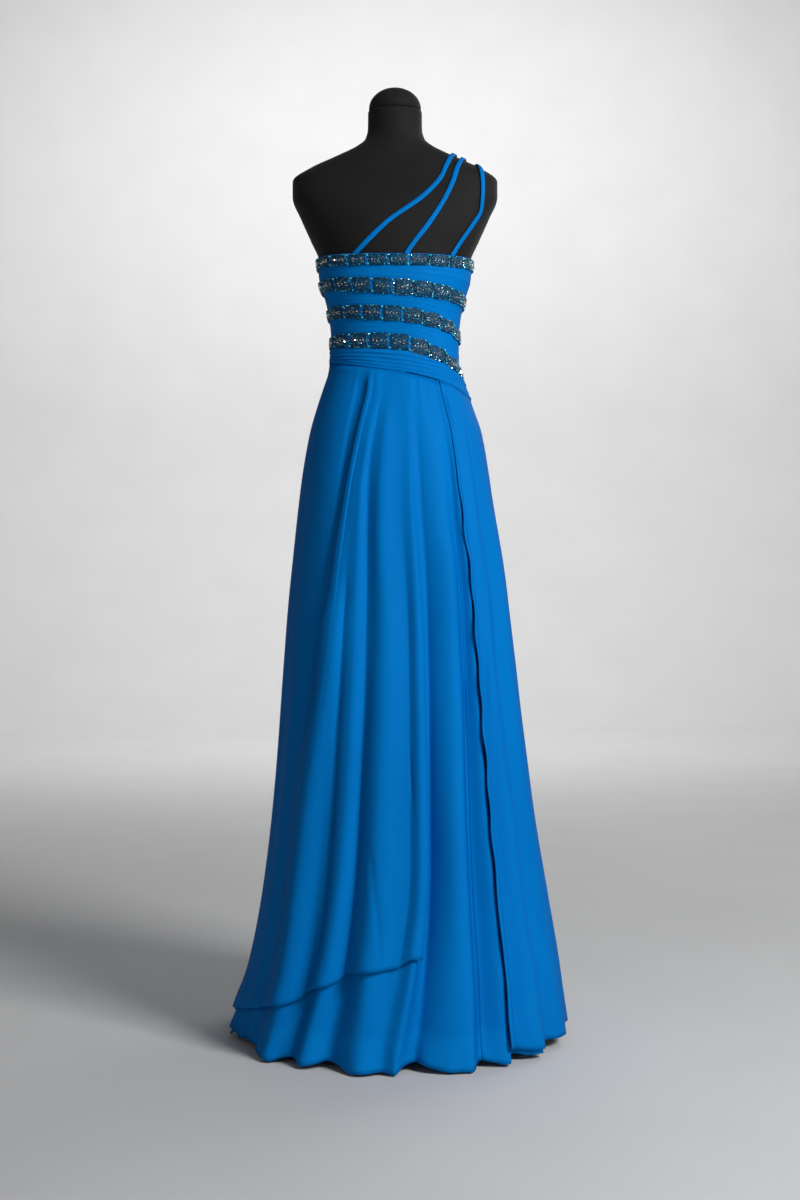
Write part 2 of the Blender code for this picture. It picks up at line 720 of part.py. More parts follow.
def build_strap(name, sideways, look):
    """One flattened tube from the back neckline to the front neckline."""
    first = strap_limit(sideways, STRAP_ANGLES[0] - 10, 0.25)
    last = strap_limit(sideways, STRAP_ANGLES[-1] + 10, -0.25)
    lines = []
    count = STRAP_SEGMENTS
    for i in range(count + 1):
        angle = first + (last - first) * i / count
        spot = strap_spot(sideways, angle)
        along = strap_spot(sideways, angle + 1) - strap_spot(sideways, angle - 1)
        along.normalize()
        up = form_normal(spot)
        across = along.cross(up).normalized()
        up = across.cross(along).normalized()
        half = STRAP_WIDTH / 2
        if i in (0, count):
            level = Vector((across.x, across.y, 0)).normalized()
            half = half / max(abs(level.dot(across)), 0.5)
            across = level
        middle = spot + up * (STRAP_CLEARANCE + STRAP_THICKNESS / 2)
        ring = []
        for side, lift in ((-1, 0), (-0.7, -1), (0.7, -1), (1, 0), (0.7, 1), (-0.7, 1)):
            ring.append(middle + across * (half * side) + up * (STRAP_THICKNESS / 2 * lift))
        lines.append(ring)
    points = [point for ring in lines for point in ring]
    faces = []
    size = len(lines[0])
    for i in range(count):
        first_line = [i * size + k for k in range(size)]
        second_line = [(i + 1) * size + k for k in range(size)]
        faces += band_faces(first_line, second_line, True)
    faces.append(tuple(range(size)))
    faces.append(tuple(count * size + k for k in range(size)))
    add_object(name, points, faces, look)


def form_normal(spot):
    """Outward direction of the form at a point on it."""
    step = 0.0005

    def field(point):
        width = HALF_WIDTH(point.z)
        depth = BACK(point.z) if point.y < 0 else FRONT(point.z)
        power = SQUARENESS(point.z)
        return (abs(point.x) / width) ** power + (abs(point.y) / depth) ** power

    slope = []
    for axis in range(3):
        move = Vector((0, 0, 0))
        move[axis] = step
        slope.append(field(spot + move) - field(spot - move))
    return Vector(slope).normalized()


def torso_heights():
    """Rows of the form, closer together where the bodice rests on it."""
    heights = [row[0] for row in BODY_ROWS if row[0] > REST_TOP or row[0] < REST_FOOT]
    upper = sorted([height for height in heights if height > REST_TOP])
    heights += [(low + high) / 2 for low, high in zip(upper, upper[1:])]
    for i in range(REST_ROWS + 1):
        heights.append(REST_FOOT + (REST_TOP - REST_FOOT) * i / REST_ROWS)
    return sorted(heights, reverse=True)


def build_torso(look):
    """Solid form from the hips to the top of the neck."""
    azimuths = bodice_azimuths()[::2]
    heights = torso_heights()
    rows = [[body_point(azimuth, height) for azimuth in azimuths] for height in heights]
    points = [point for row in rows for point in row]
    size = len(azimuths)
    faces = []
    for i in range(len(rows) - 1):
        faces += band_faces([i * size + k for k in range(size)], [(i + 1) * size + k for k in range(size)], True)
    faces.append(tuple(range(size)))
    faces.append(tuple((len(rows) - 1) * size + k for k in range(size)))
    add_object("form_torso", points, faces, look)


def build_turned(name, profile, segments, look):
    """Turned solid from rows of radius and height, from the bottom middle to the top middle."""
    points = []
    faces = []
    lines = []
    for radius, height in profile:
        line = list(range(len(points), len(points) + segments))
        for k in range(segments):
            turn = math.tau * k / segments
            points.append(Vector((radius * math.cos(turn), radius * math.sin(turn), height)))
        lines.append(line)
    for first, second in zip(lines, lines[1:]):
        faces += band_faces(first, second, True)
    faces.append(tuple(lines[0]))
    faces.append(tuple(lines[-1]))
    return add_object(name, points, faces, look)


def build_stand(cap_look, metal_look):
    """Neck cap, pole, collar and round base."""
    cap = [
        (CAP_RADIUS - CAP_CHAMFER, CAP_FOOT),
        (CAP_RADIUS, CAP_FOOT + CAP_CHAMFER),
        (CAP_RADIUS, CAP_FOOT + CAP_LIP),
    ]
    for i in range(1, CAP_STEPS):
        turn = math.pi / 2 * i / CAP_STEPS
        cap.append((CAP_RADIUS * math.cos(turn), CAP_FOOT + CAP_LIP + CAP_CROWN * math.sin(turn)))
    build_turned("form_neck_cap", cap, CAP_SEGMENTS, cap_look)
    collar_top = BASE_HEIGHT + COLLAR_HEIGHT
    base = [
        (BASE_RADIUS - BASE_BEVEL, 0.0),
        (BASE_RADIUS, BASE_BEVEL),
        (BASE_RADIUS, BASE_EDGE),
        (BASE_RADIUS - 2 * BASE_BEVEL, BASE_EDGE + BASE_BEVEL),
        (COLLAR_RADIUS + BASE_EDGE, BASE_HEIGHT),
    ]
    build_turned("form_base", base, BASE_SEGMENTS, metal_look)
    collar = [
        (COLLAR_RADIUS, BASE_HEIGHT + SEAM_GAP),
        (COLLAR_RADIUS, collar_top - BASE_BEVEL),
        (COLLAR_RADIUS - BASE_BEVEL, collar_top),
    ]
    build_turned("form_collar", collar, COLLAR_SEGMENTS, metal_look)
    pole = [(POLE_RADIUS, collar_top + SEAM_GAP), (POLE_RADIUS, BODY_ROWS[-1][0] - SEAM_GAP)]
    build_turned("form_pole", pole, POLE_SEGMENTS, metal_look)


def main():
    for old in list(bpy.data.objects):
        bpy.data.objects.remove(old)
    chiffon = material("azure_chiffon", AZURE, 0.62, sheen=0.4)
    pleated = material("pleated_chiffon", AZURE_DEEP, 0.60, sheen=0.4)
    beads = material("beaded_trim", TRIM_COLOUR, 0.30, metallic=0.35)
    jersey = material("black_jersey", BLACK_CLOTH, 0.85)
    metal = material("black_metal", BLACK_METAL, 0.45, metallic=0.6)
    build_torso(jersey)
    build_stand(jersey, metal)
    build_bodice(pleated)
    build_trims(beads)
    build_sash(pleated)
    build_skirt(chiffon)
    left_names = ("overlay_left_front", "overlay_left_back")
    build_overlay(left_names, ("left_front_edge", "side_left", "left_edge"), LEFT_HEM, chiffon)
    right_names = ("overlay_right_back", "overlay_right_front")
    build_overlay(right_names, ("right_edge", "side_right", "right_front_edge"), RIGHT_HEM, chiffon)
    build_straps(pleated)


main()
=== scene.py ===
"""Looks of the prom gown and its form: cloth shells, beads, form, stand, floor, light and camera."""
import math

import bmesh
import bpy
import numpy as np
from bpy.props import FloatProperty, FloatVectorProperty, IntProperty, PointerProperty
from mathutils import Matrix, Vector


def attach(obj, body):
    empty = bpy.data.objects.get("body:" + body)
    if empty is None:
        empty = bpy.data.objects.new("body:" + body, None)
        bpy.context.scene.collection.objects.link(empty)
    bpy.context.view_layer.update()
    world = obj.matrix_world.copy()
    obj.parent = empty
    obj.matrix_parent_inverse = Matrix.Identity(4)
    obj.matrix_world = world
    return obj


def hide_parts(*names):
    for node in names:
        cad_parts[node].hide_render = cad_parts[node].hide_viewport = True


bl_info = {
    "name": "Prom gown",
    "version": (1, 0, 0),
    "blender": (4, 5, 0),
    "location": "3D View > Sidebar > Gown",
    "description": "Builds the draped cloth, beads and form of a floor-length gown",
    "category": "Object",
}

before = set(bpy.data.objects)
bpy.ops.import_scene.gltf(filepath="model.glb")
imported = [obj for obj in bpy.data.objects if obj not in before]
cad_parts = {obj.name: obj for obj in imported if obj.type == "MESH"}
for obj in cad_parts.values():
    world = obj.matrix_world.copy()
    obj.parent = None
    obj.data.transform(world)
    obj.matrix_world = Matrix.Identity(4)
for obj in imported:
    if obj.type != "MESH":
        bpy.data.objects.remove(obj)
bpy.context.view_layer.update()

# Form: height, half width, back depth, front depth, squareness
BODY_ROWS = (
    (1.605, 0.0470, 0.0450, 0.0470, 2.0),
    (1.575, 0.0475, 0.0455, 0.0480, 2.0),
    (1.556, 0.0530, 0.0490, 0.0500, 2.0),
    (1.543, 0.0690, 0.0540, 0.0520, 2.0),
    (1.524, 0.1080, 0.0600, 0.0550, 2.1),
    (1.503, 0.1520, 0.0680, 0.0600, 2.3),
    (1.482, 0.1790, 0.0750, 0.0660, 2.5),
    (1.456, 0.1790, 0.0830, 0.0760, 2.6),
    (1.420, 0.1650, 0.0920, 0.0900, 2.5),
    (1.380, 0.1470, 0.0980, 0.1020, 2.4),
    (1.344, 0.1320, 0.0985, 0.1070, 2.3),
    (1.310, 0.1290, 0.0965, 0.1070, 2.2),
    (1.277, 0.1190, 0.0915, 0.1040, 2.2),
    (1.242, 0.1115, 0.0845, 0.0980, 2.1),
    (1.207, 0.1085, 0.0785, 0.0915, 2.1),
    (1.175, 0.1085, 0.0755, 0.0875, 2.1),
    (1.150, 0.1110, 0.0775, 0.0865, 2.1),
    (1.120, 0.1205, 0.0860, 0.0885, 2.1),
    (1.085, 0.1305, 0.0970, 0.0920, 2.1),
    (1.040, 0.1400, 0.1070, 0.0950, 2.1),
    (0.980, 0.1470, 0.1150, 0.0960, 2.2),
    (0.910, 0.1480, 0.1170, 0.0940, 2.2),
    (0.850, 0.1450, 0.1100, 0.0900, 2.2),
    (0.800, 0.1390, 0.1000, 0.0840, 2.2),
)
BODY_EASE = 0.0017
CAP_RADIUS = 0.0455
CAP_FOOT = 1.6055
CAP_LIP = 0.006
CAP_CROWN = 0.0355
BUST_AZIMUTH = 37.0
BUST_SPREAD = 21.0
BUST_HEIGHT = 1.292
BUST_RISE = 0.042
BUST_DEPTH = 0.015

# Skirt inside surface: height, left, right, back, front
SKIRT_TOP = 1.120
SKIRT_SQUARENESS = 2.1
SKIRT_ROWS = (
    (1.085, 0.1335, 0.1340, 0.1000, 0.0955),
    (1.040, 0.1455, 0.1490, 0.1160, 0.1060),
    (0.980, 0.1560, 0.1590, 0.1310, 0.1180),
    (0.930, 0.1620, 0.1660, 0.1420, 0.1280),
    (0.790, 0.1760, 0.1880, 0.1650, 0.1500),
    (0.650, 0.1870, 0.2030, 0.1850, 0.1720),
    (0.510, 0.1970, 0.2200, 0.2060, 0.1940),
    (0.370, 0.2090, 0.2390, 0.2280, 0.2170),
    (0.230, 0.2270, 0.2610, 0.2510, 0.2400),
    (0.120, 0.2490, 0.2810, 0.2710, 0.2620),
    (0.050, 0.2710, 0.2890, 0.2830, 0.2760),
    (0.000, 0.2860, 0.2940, 0.2910, 0.2860),
)

# Heights round the bodice at these azimuths
TRIM_AZIMUTHS = (-90.0, 0.0, 45.0, 90.0, 180.0)
NECKLINE = (1.3470, 1.3385, 1.3400, 1.3450, 1.3500)
NECKLINE_CUP = 0.016
TRIMS = {
    "beaded_band_2": ((1.2970, 1.2840, 1.2770, 1.2690, 1.2870), 0.026),
    "beaded_band_3": ((1.2485, 1.2400, 1.2270, 1.2075, 1.2340), 0.025),
    "beaded_band_4": ((1.1995, 1.1930, 1.1710, 1.1455, 1.1790), 0.027),
}
TRIM_NAMES = ("beaded_band_1", "beaded_band_2", "beaded_band_3", "beaded_band_4")
NECK_TRIM_DROP = 0.0012
NECK_TRIM_HEIGHT = 0.018
TRIM_SIDE_SHARE = 0.62
SASH_FOOT = (1.1640, 1.1425, 1.1240, 1.0990, 1.1350)
TILE_PITCH = 0.035
TILE_GAP = 0.0055
TILE_FLATTER = 0.45

# Skirt folds: name, azimuths and offsets in mm at FOLD_HEIGHTS
FOLD_HEIGHTS = (1.10, 0.93, 0.68, 0.34, 0.02)
FOLDS = (
    ("side_left", (-90, -90, -90, -90, -90), (0, 0, 0, 0, 0)),
    ("hollow_a", (-30, -35, -47, -60, -62), (0, -3, -8, -14, -20)),
    ("crest_a", (-17, -26, -33, -44.5, -46), (0, 0, 0, 2, 3)),
    ("hollow_b", (-15, -22.5, -26.5, -33, -38), (0, 0, -5, -15, -22)),
    ("crest_b", (-13, -19.5, -20.5, -23, -31), (0, 0, -4, -7, -5)),
    ("hollow_c", (-10.5, -15.5, -14.5, -16.8, -23), (0, -7, -14, -22, -27)),
    ("crest_c", (-3, -5.5, -4, -6.5, -11), (0, 1, 1, 1, 2)),
    ("hollow_d", (3, 3, 6, 5.5, -4), (0, -3, -7, -8, -7)),
    ("left_edge", (8.5, 9, 11, 10.3, 0.5), (0, 0, 2, 3, 3)),
    ("hollow_e", (12.5, 15, 16.2, 14, 7), (0, -8, -18, -29, -33)),
    ("crest_d", (20, 28, 28, 25.2, 23), (0, 1, 3, 4, 5)),
    ("hollow_f", (34, 36, 36, 32.5, 29.5), (0, -6, -13, -20, -24)),
    ("right_edge", (37.5, 39, 40, 39, 37.5), (0, 1, 1, 0, 0)),
    ("hollow_g", (41, 42.5, 44, 44, 43), (0, -5, -9, -15, -20)),
    ("crest_e", (47, 52, 51.5, 52.5, 52), (0, 0, 0, 1, 2)),
    ("hollow_h", (53, 58, 57.5, 59, 60.5), (0, -4, -9, -15, -20)),
    ("crest_f", (67, 70, 70, 71, 72), (0, 0, 0, 0, 1)),
    ("hollow_i", (79, 80, 80, 81, 81.5), (0, -1, -3, -7, -12)),
    ("side_right", (90, 90, 90, 90, 90), (0, 0, 0, 0, 0)),
    ("hollow_j", (99, 101, 102, 103, 103), (0, -2, -6, -14, -21)),
    ("crest_g", (110, 113, 115, 116, 116), (0, 0, 0, 1, 2)),
    ("hollow_k", (121, 124, 127, 129, 128), (0, -4, -9, -18, -26)),
    ("right_front_edge", (134, 137, 139, 142, 143), (0, 1, 2, 3, 3)),
    ("hollow_l", (147, 150, 152, 155, 157), (0, -5, -12, -22, -30)),
    ("crest_h", (160, 162, 165, 168, 170), (0, 1, 2, 3, 4)),
    ("hollow_m", (172, 175, 178, 181, 184), (0, -4, -11, -20, -28)),
    ("crest_i", (186, 189, 191, 193, 197), (0, 1, 1, 2, 4)),
    ("hollow_n", (198, 202, 204, 206, 209), (0, -5, -12, -21, -27)),
    ("left_front_edge", (210, 213, 216, 219, 221), (0, 0, 1, 3, 3)),
    ("hollow_o", (222, 225, 228, 231, 234), (0, -4, -9, -17, -25)),
    ("crest_j", (235, 238, 241, 243, 245), (0, 0, 1, 2, 2)),
    ("hollow_p", (248, 250, 253, 255, 256), (0, -3, -7, -14, -20)),
)
FOLD_NUMBERS = {row[0]: number for number, row in enumerate(FOLDS)}
FOLD_START = 0.05
DROPS = {"left_edge": 0.46, "hollow_e": 0.56, "crest_a": 1.0}
SKIRT_DROP = 0.0006
SKIRT_HEM = 0.003
LEFT_HEM = (
    (-139, 0.185), (-131, 0.135), (-118, 0.095), (-104, 0.058), (-90, 0.040), (-75, 0.052),
    (-62, 0.066), (-46, 0.088), (-33, 0.116), (-22, 0.139), (-12, 0.155), (-4, 0.161), (1, 0.164), (6, 0.180),
)
RIGHT_HEM = ((37, 0.030), (44, 0.018), (60, 0.013), (90, 0.012), (120, 0.020), (132, 0.032), (144, 0.062))

# Pieces of the skirt between their seams: node, first fold, last fold
GORES = (
    ("skirt_side_left_back", "side_left", "hollow_a"),
    ("skirt_back_left", "hollow_a", "hollow_b"),
    ("skirt_back_middle", "hollow_b", "hollow_f"),
    ("skirt_back_right", "hollow_f", "side_right"),
    ("skirt_front_right", "side_right", "hollow_l"),
    ("skirt_front_middle_right", "hollow_l", "hollow_m"),
    ("skirt_front_middle_left", "hollow_m", "hollow_n"),
    ("skirt_front_left", "hollow_n", "hollow_o"),
    ("skirt_left_front", "hollow_o", "hollow_p"),
    ("skirt_side_left_front", "hollow_p", "side_left"),
)
LEFT_PANELS = (
    ("overlay_left_front", "left_front_edge", "side_left"),
    ("overlay_left_back", "side_left", "left_edge"),
)
RIGHT_PANELS = (
    ("overlay_right_back", "right_edge", "side_right"),
    ("overlay_right_front", "side_right", "right_front_edge"),
)

# Creases: running fold place at the top and foot, heights of top and foot, half width and rise in mm,
# sharpness, lean to the right
CREASES = (
    ("crest a, sharp", 1.80, 1.56, 1.158, 0.620, 15.0, 5.6, 1.5, 0.70),
    ("crest a, soft", 1.58, 1.96, 0.760, 0.030, 24.0, 3.6, 2.0, 0.35),
    ("left of crest a", 1.16, 1.08, 1.140, 0.500, 26.0, -4.6, 2.0, 0.0),
    ("left valley", 2.86, 3.45, 0.790, 0.160, 9.0, -3.4, 1.6, 0.0),
    ("soft step", 5.80, 5.84, 1.080, 0.760, 12.0, 2.4, 1.6, -0.4),
    ("left light band", 5.62, 5.30, 0.660, 0.150, 13.0, 1.4, 2.0, 0.0),
    ("thin line 1", 5.78, 6.36, 0.345, 0.165, 3.6, -2.2, 1.3, 0.0),
    ("thin line 2", 7.06, 7.50, 0.505, 0.385, 3.2, -1.5, 1.3, 0.0),
    ("middle panel", 10.10, 9.74, 0.860, 0.170, 18.0, 2.4, 2.0, 0.0),
    ("panel side", 10.96, 10.46, 0.620, 0.006, 4.2, -2.4, 1.3, 0.0),
    ("pleat at the edge", 12.66, 12.60, 1.125, 0.720, 3.0, -2.1, 1.2, 0.0),
    ("short pleat", 12.40, 13.20, 1.120, 1.010, 2.8, -1.7, 1.2, 0.0),
    ("right valley", 15.00, 13.20, 1.070, 0.540, 7.0, -2.6, 1.5, 0.0),
    ("right light", 16.30, 16.10, 0.900, 0.280, 15.0, 2.2, 2.0, 0.0),
    ("right low", 15.30, 15.00, 0.470, 0.030, 7.0, -2.3, 1.5, 0.0),
    ("pucker 1", 1.30, 1.36, 1.152, 1.085, 3.0, -1.3, 1.4, 0.0),
    ("pucker 2", 1.62, 1.58, 1.150, 1.100, 2.6, -1.1, 1.4, 0.0),
    ("pucker 3", 2.60, 2.75, 1.148, 1.070, 3.2, -1.2, 1.4, 0.0),
    ("pucker 4", 11.10, 11.20, 1.125, 1.060, 3.0, -1.2, 1.4, 0.0),
    ("pucker 5", 13.70, 13.90, 1.120, 1.030, 3.4, -1.4, 1.4, 0.0),
    ("pucker 6", 14.60, 14.70, 1.115, 1.050, 3.0, -1.1, 1.4, 0.0),
    ("right side", 17.30, 17.10, 1.040, 0.380, 9.0, -2.2, 1.7, 0.0),
    ("front 1", 19.40, 19.30, 1.080, 0.460, 8.0, -2.2, 1.6, 0.0),
    ("front 2", 20.70, 20.50, 0.920, 0.180, 13.0, 2.2, 2.0, 0.0),
    ("front 3", 21.60, 21.50, 1.110, 0.700, 3.2, -1.8, 1.3, 0.0),
    ("front 4", 23.30, 23.40, 0.820, 0.080, 9.0, -2.4, 1.6, 0.0),
    ("front 5", 24.40, 24.10, 1.070, 0.420, 12.0, 2.2, 2.0, 0.0),
    ("front 6", 25.50, 25.60, 0.620, 0.030, 5.0, -2.0, 1.4, 0.0),
    ("front 7", 26.60, 26.40, 1.110, 0.580, 6.0, -2.2, 1.5, 0.0),
    ("front 8", 27.40, 27.50, 0.540, 0.040, 13.0, 2.2, 2.0, 0.0),
    ("front 9", 28.50, 28.40, 1.110, 0.740, 3.2, -1.8, 1.3, 0.0),
    ("left 1", 29.30, 29.50, 0.960, 0.220, 9.0, -2.3, 1.7, 0.0),
    ("left 2", 30.40, 30.30, 0.720, 0.080, 13.0, 2.2, 2.0, 0.0),
    ("left 3", 31.50, 31.30, 1.070, 0.540, 8.0, -2.1, 1.6, 0.0),
    ("left 4", 0.34, 0.42, 1.020, 0.320, 15.0, -2.4, 1.9, 0.0),
    ("left 5", 0.72, 0.66, 0.640, 0.040, 17.0, 2.4, 2.0, 0.0),
)
CREASE_FADE = 0.055

# Strength of the hem's small ripples and extra lift of the hem in mm, by azimuth
RIPPLE_ROWS = (
    (-90, 1.0, 0), (-62, 0.85, 0), (-44, 0.35, 0), (-20, 0.14, 0), (30, 0.16, 0), (46, 0.35, 2),
    (60, 0.85, 6), (80, 1.0, 13), (98, 0.9, 11), (120, 0.5, 3),
    (180, 0.35, 2), (230, 0.5, 3), (252, 0.85, 2), (270, 1.0, 0),
)
HEM_LIFT = 0.012
DEEPEST_FOLD = 0.033
WALL = 0.0015
LAYER_GAP = 0.0004
OVERLAY_STAND = 0.0035
EDGE_LIFT = 0.0024
EDGE_LIFT_WIDTH = 11.0

# Straps: sideways place at each angle round the shoulder
STRAP_PIVOT_HEIGHT = 1.400
STRAP_ANGLES = (-46.0, -36.0, -5.0, 25.0, 50.0, 90.0, 140.0, 216.0)
STRAPS = {
    "strap_1": (-0.090, -0.071, -0.014, 0.050, 0.083, 0.104, 0.105, 0.086),
    "strap_2": (0.000, 0.014, 0.058, 0.086, 0.103, 0.120, 0.119, 0.099),
    "strap_3": (0.084, 0.101, 0.131, 0.147, 0.150, 0.141, 0.133, 0.113),
}
STRAP_HALF_THICKNESS = 0.0019
STRAP_STAND = 0.0007
STRAP_ROWS = 150
STRAP_CORNERS = 18
STRAP_TUCK = 0.0035
STRAP_SWELL = 0.10

# Fineness of the shells: rows, columns, or columns for each degree
LAYER_ROWS = 118
LAYER_ROW_POWER = 0.97
GORE_COLUMNS = 1.35
OVERLAY_COLUMNS = 1.5
BODICE_COLUMNS = 176
SASH_COLUMNS = 401
ROWS_IN_TUCK = 6
ROWS_IN_PLEAT = 9

# Cloth: its lowest place, the bodice's edge and wall, and the sash
LOWEST_CLOTH = 0.0022
BODICE_EDGE = 0.0018
BODICE_WALL_SHARE = 0.45
SASH_STAND = 0.0009
PLEAT_SWELL = 0.84

# Places of the beads over the cloth, and sizes in metres
STONE_LIFT = 0.0032
SEED_LIFT = 0.0024
GAP_LIFT = 0.0019
STONE_HEIGHT = 0.0019
GAP_STONE_HEIGHT = 0.0016
SQUARE_SPREAD = 1.38
FULL_HALF_HEIGHT = 0.0125
SCATTERED_SEEDS = 20
# Painted glint: tiles between these azimuths, on the lit side, get more beads and brighter ones
PAINTED_GLINT_SIDE = (4, 120)

# Colours of the seed beads that chance picks from: 0 silver, 1 aqua, 2 teal, 3 smoke; the set with more
# silver and aqua is painted glint on the lit side, the other is the plain set elsewhere
PAINTED_GLINT_SEEDS = (2, 2, 3, 1, 2, 0, 0, 3)
CALM_SEEDS = (2, 2, 2, 2, 2, 2, 3, 1)

# Beads between two tiles: share of the half height, radius, colour
GAP_BEADS = ((0.80, 0.0019, 1), (0.0, 0.0018, 0), (-0.80, 0.0019, 1))
# The extra beads between tiles on the lit side are painted glint
PAINTED_GLINT_GAP_BEADS = ((0.52, 0.0016, 2), (0.26, 0.0013, 3), (-0.27, 0.0014, 1), (-0.54, 0.0015, 3))

# Columns of one tile of a trim's ground and how full the ground is there
TILE_STEPS = np.array([0, 0.02, 0.06, 0.13, 0.25, 0.38, 0.5, 0.62, 0.75, 0.87, 0.94, 0.98])
TILE_FILL = [0, 0.55, 0.85, 1, 1, 1, 1, 1, 1, 1, 0.85, 0.55]
GAP_STEPS = np.array([0, 0.33, 0.66])
NET_ROWS = np.array([-1.0, -0.93, -0.78, -0.4, 0.0, 0.4, 0.78, 0.93, 1.0])[::-1]
NET_CROWN = np.array([0, 0.55, 0.9, 1, 1, 1, 0.9, 0.55, 0])

# Round floor that bends up into a wall
FLOOR_RADIUS = 6.5
SWEEP_RADIUS = 2.0
ROOM_HEIGHT = 5.5
FLOOR_STEPS = 96

# Camera, even light of the room, and lights: name, place, size, watts, point that it faces
CAMERA_PLACE = (0.0088, -2.917, 0.7525)
CAMERA_LENS = 50.0
CAMERA_SENSOR = 36.0
ROOM_COLOUR = (0.80, 0.86, 0.95, 1)
ROOM_STRENGTH = 0.09
GOWN_MIDDLE = (0, 0, 0.85)
LIGHTS = (
    ("key", (2.25, -2.30, 2.6), 1.2, 132, GOWN_MIDDLE),
    ("fill", (-2.6, -2.6, 1.4), 2.4, 1, GOWN_MIDDLE),
    ("rim", (1.6, 2.0, 2.6), 1.6, 22, GOWN_MIDDLE),
    ("backdrop", (0.0, 4.8, 4.4), 3.0, 230, (0, 8.64, 1.0)),
    ("backdrop_front", (0.0, -4.8, 4.4), 3.0, 80, (0, -8.64, 1.0)),
    ("backdrop_left", (-4.8, 0.0, 4.4), 3.0, 60, (-8.64, 0, 1.0)),
    ("backdrop_right", (4.8, 0.0, 4.4), 3.0, 60, (8.64, 0, 1.0)),
)


def length_setting(label, about, value):
    """Length in metres for the sidebar."""
    return FloatProperty(name=label, description=about, default=value, unit="LENGTH")


def count_setting(label, about, value):
    """Whole number for the sidebar."""
    return IntProperty(name=label, description=about, default=value)


def colour_setting(label, about, value):
    """Colour for the sidebar."""
    return FloatVectorProperty(name=label, description=about, default=value, subtype="COLOR")


class GownSizes(bpy.types.PropertyGroup):
    """Sizes of the cloth, its pleats and its beads."""

    cloth: length_setting("Cloth", "Thickness of the chiffon", 0.0009)
    hem_roll: length_setting("Hem roll", "Thickness of a rolled edge", 0.0017)
    tucks: count_setting("Tucks", "Soft tucks between two trims", 3)
    tuck_depth: length_setting("Tuck depth", "How far a tuck stands out", 0.0006)
    sash_pleats: count_setting("Sash pleats", "Long pleats in the sash", 5)
    sash_depth: length_setting("Sash pleat", "How far a sash pleat stands out", 0.0034)
    ripple: length_setting("Hem ripple", "Wave of the hem", 0.0090)
    gather: length_setting("Gathers", "Height of the gathers under the sash", 0.0008)
    uneven: length_setting("Unevenness", "Slow waves of the hanging cloth", 0.0016)
    flutter: length_setting("Flutter", "Wave of a free edge", 0.0028)
    seed_bead: length_setting("Seed bead", "Radius of a seed bead", 0.00105)
    strap: length_setting("Strap", "Width of a strap", 0.0082)


class GownColours(bpy.types.PropertyGroup):
    """Colours of the cloth, the beads and the form."""

    chiffon: colour_setting("Chiffon", "Azure chiffon", (0.000, 0.170, 0.520))
    # The deep colour is the deep end of the weave's random tone, and also painted shade where the cloth is
    # seen along its face
    chiffon_deep_and_painted_shade: colour_setting("Chiffon shade", "Chiffon seen along its face", (0.000, 0.070, 0.290))
    chiffon_thin: colour_setting("Thin chiffon", "Chiffon below the lining", (0.001, 0.205, 0.590))
    net: colour_setting("Net", "Ground of the trims", (0.001, 0.016, 0.050))
    silver: colour_setting("Silver", "Stones and bugles", (0.94, 0.92, 0.86))
    aqua: colour_setting("Aqua", "Aqua beads", (0.05, 0.48, 0.62))
    teal: colour_setting("Teal", "Seed beads", (0.001, 0.050, 0.110))
    jersey: colour_setting("Jersey", "Cover of the form", (0.0050, 0.0050, 0.0055))


# Curves and surfaces

class Curve:
    """Smooth line through short tables, without overshoot between its rows."""

    def __init__(self, places, values):
        order = np.argsort(places)
        self.x = np.asarray(places, float)[order]
        self.y = np.asarray(values, float)[order]
        slopes = np.diff(self.y) / np.diff(self.x)
        inner = np.zeros(len(slopes) - 1)
        even = slopes[:-1] * slopes[1:] > 0
        total = slopes[:-1] + slopes[1:]
        inner[even] = 2 * slopes[:-1][even] * slopes[1:][even] / total[even]
        self.m = np.concatenate(([slopes[0]], inner, [slopes[-1]]))

    def __call__(self, place):
        place = np.clip(place, self.x[0], self.x[-1])
        i = np.clip(np.searchsorted(self.x, place, side="right") - 1, 0, len(self.x) - 2)
        width = self.x[i + 1] - self.x[i]
        t = (place - self.x[i]) / width
        start = (1 + 2 * t) * (1 - t) ** 2 * self.y[i] + t * (1 - t) ** 2 * width * self.m[i]
        return start + t * t * (3 - 2 * t) * self.y[i + 1] - t * t * (1 - t) * width * self.m[i + 1]


def column(rows, number):
    """One column of a table."""
    return [row[number] for row in rows]


BODY = [Curve(column(BODY_ROWS, 0), column(BODY_ROWS, i)) for i in range(1, 5)]
HALF_WIDTH, BACK, FRONT, SQUARENESS = BODY
TOP_SIZES = [float(curve(SKIRT_TOP)) + BODY_EASE for curve in (HALF_WIDTH, HALF_WIDTH, BACK, FRONT)]
ALL_SKIRT_ROWS = ((SKIRT_TOP,) + tuple(TOP_SIZES),) + SKIRT_ROWS
SKIRT = [Curve(column(ALL_SKIRT_ROWS, 0), column(ALL_SKIRT_ROWS, i)) for i in range(1, 5)]


def wrap(azimuth):
    """Azimuth from -180 to 180."""
    return (azimuth + 180) % 360 - 180


def eased(share):
    """0 to 1 with soft ends."""
    share = np.clip(share, 0.0, 1.0)
    return share * share * (3 - 2 * share)


def round_curve(values):
    """Closed curve over the azimuth from the heights at TRIM_AZIMUTHS."""
    places = [azimuth + turn for turn in (-360, 0, 360) for azimuth in TRIM_AZIMUTHS]
    return Curve(places, list(values) * 3)


NECK_HEIGHT = round_curve(NECKLINE)
SASH_EDGE = round_curve(SASH_FOOT)
TRIM_MIDDLES = {name: round_curve(values) for name, (values, height) in TRIMS.items()}


def section(azimuth, height, sizes, squareness):
    """Points of a rounded section."""
    left, right, back, front = sizes
    s = np.sin(np.radians(azimuth))
    c = np.cos(np.radians(azimuth))
    power = 2 / squareness
    x = np.where(s > 0, right, left) * np.sign(s) * np.abs(s) ** power
    y = -np.where(c > 0, back, front) * np.sign(c) * np.abs(c) ** power
    return np.stack([x, y, height + 0 * x], axis=-1)


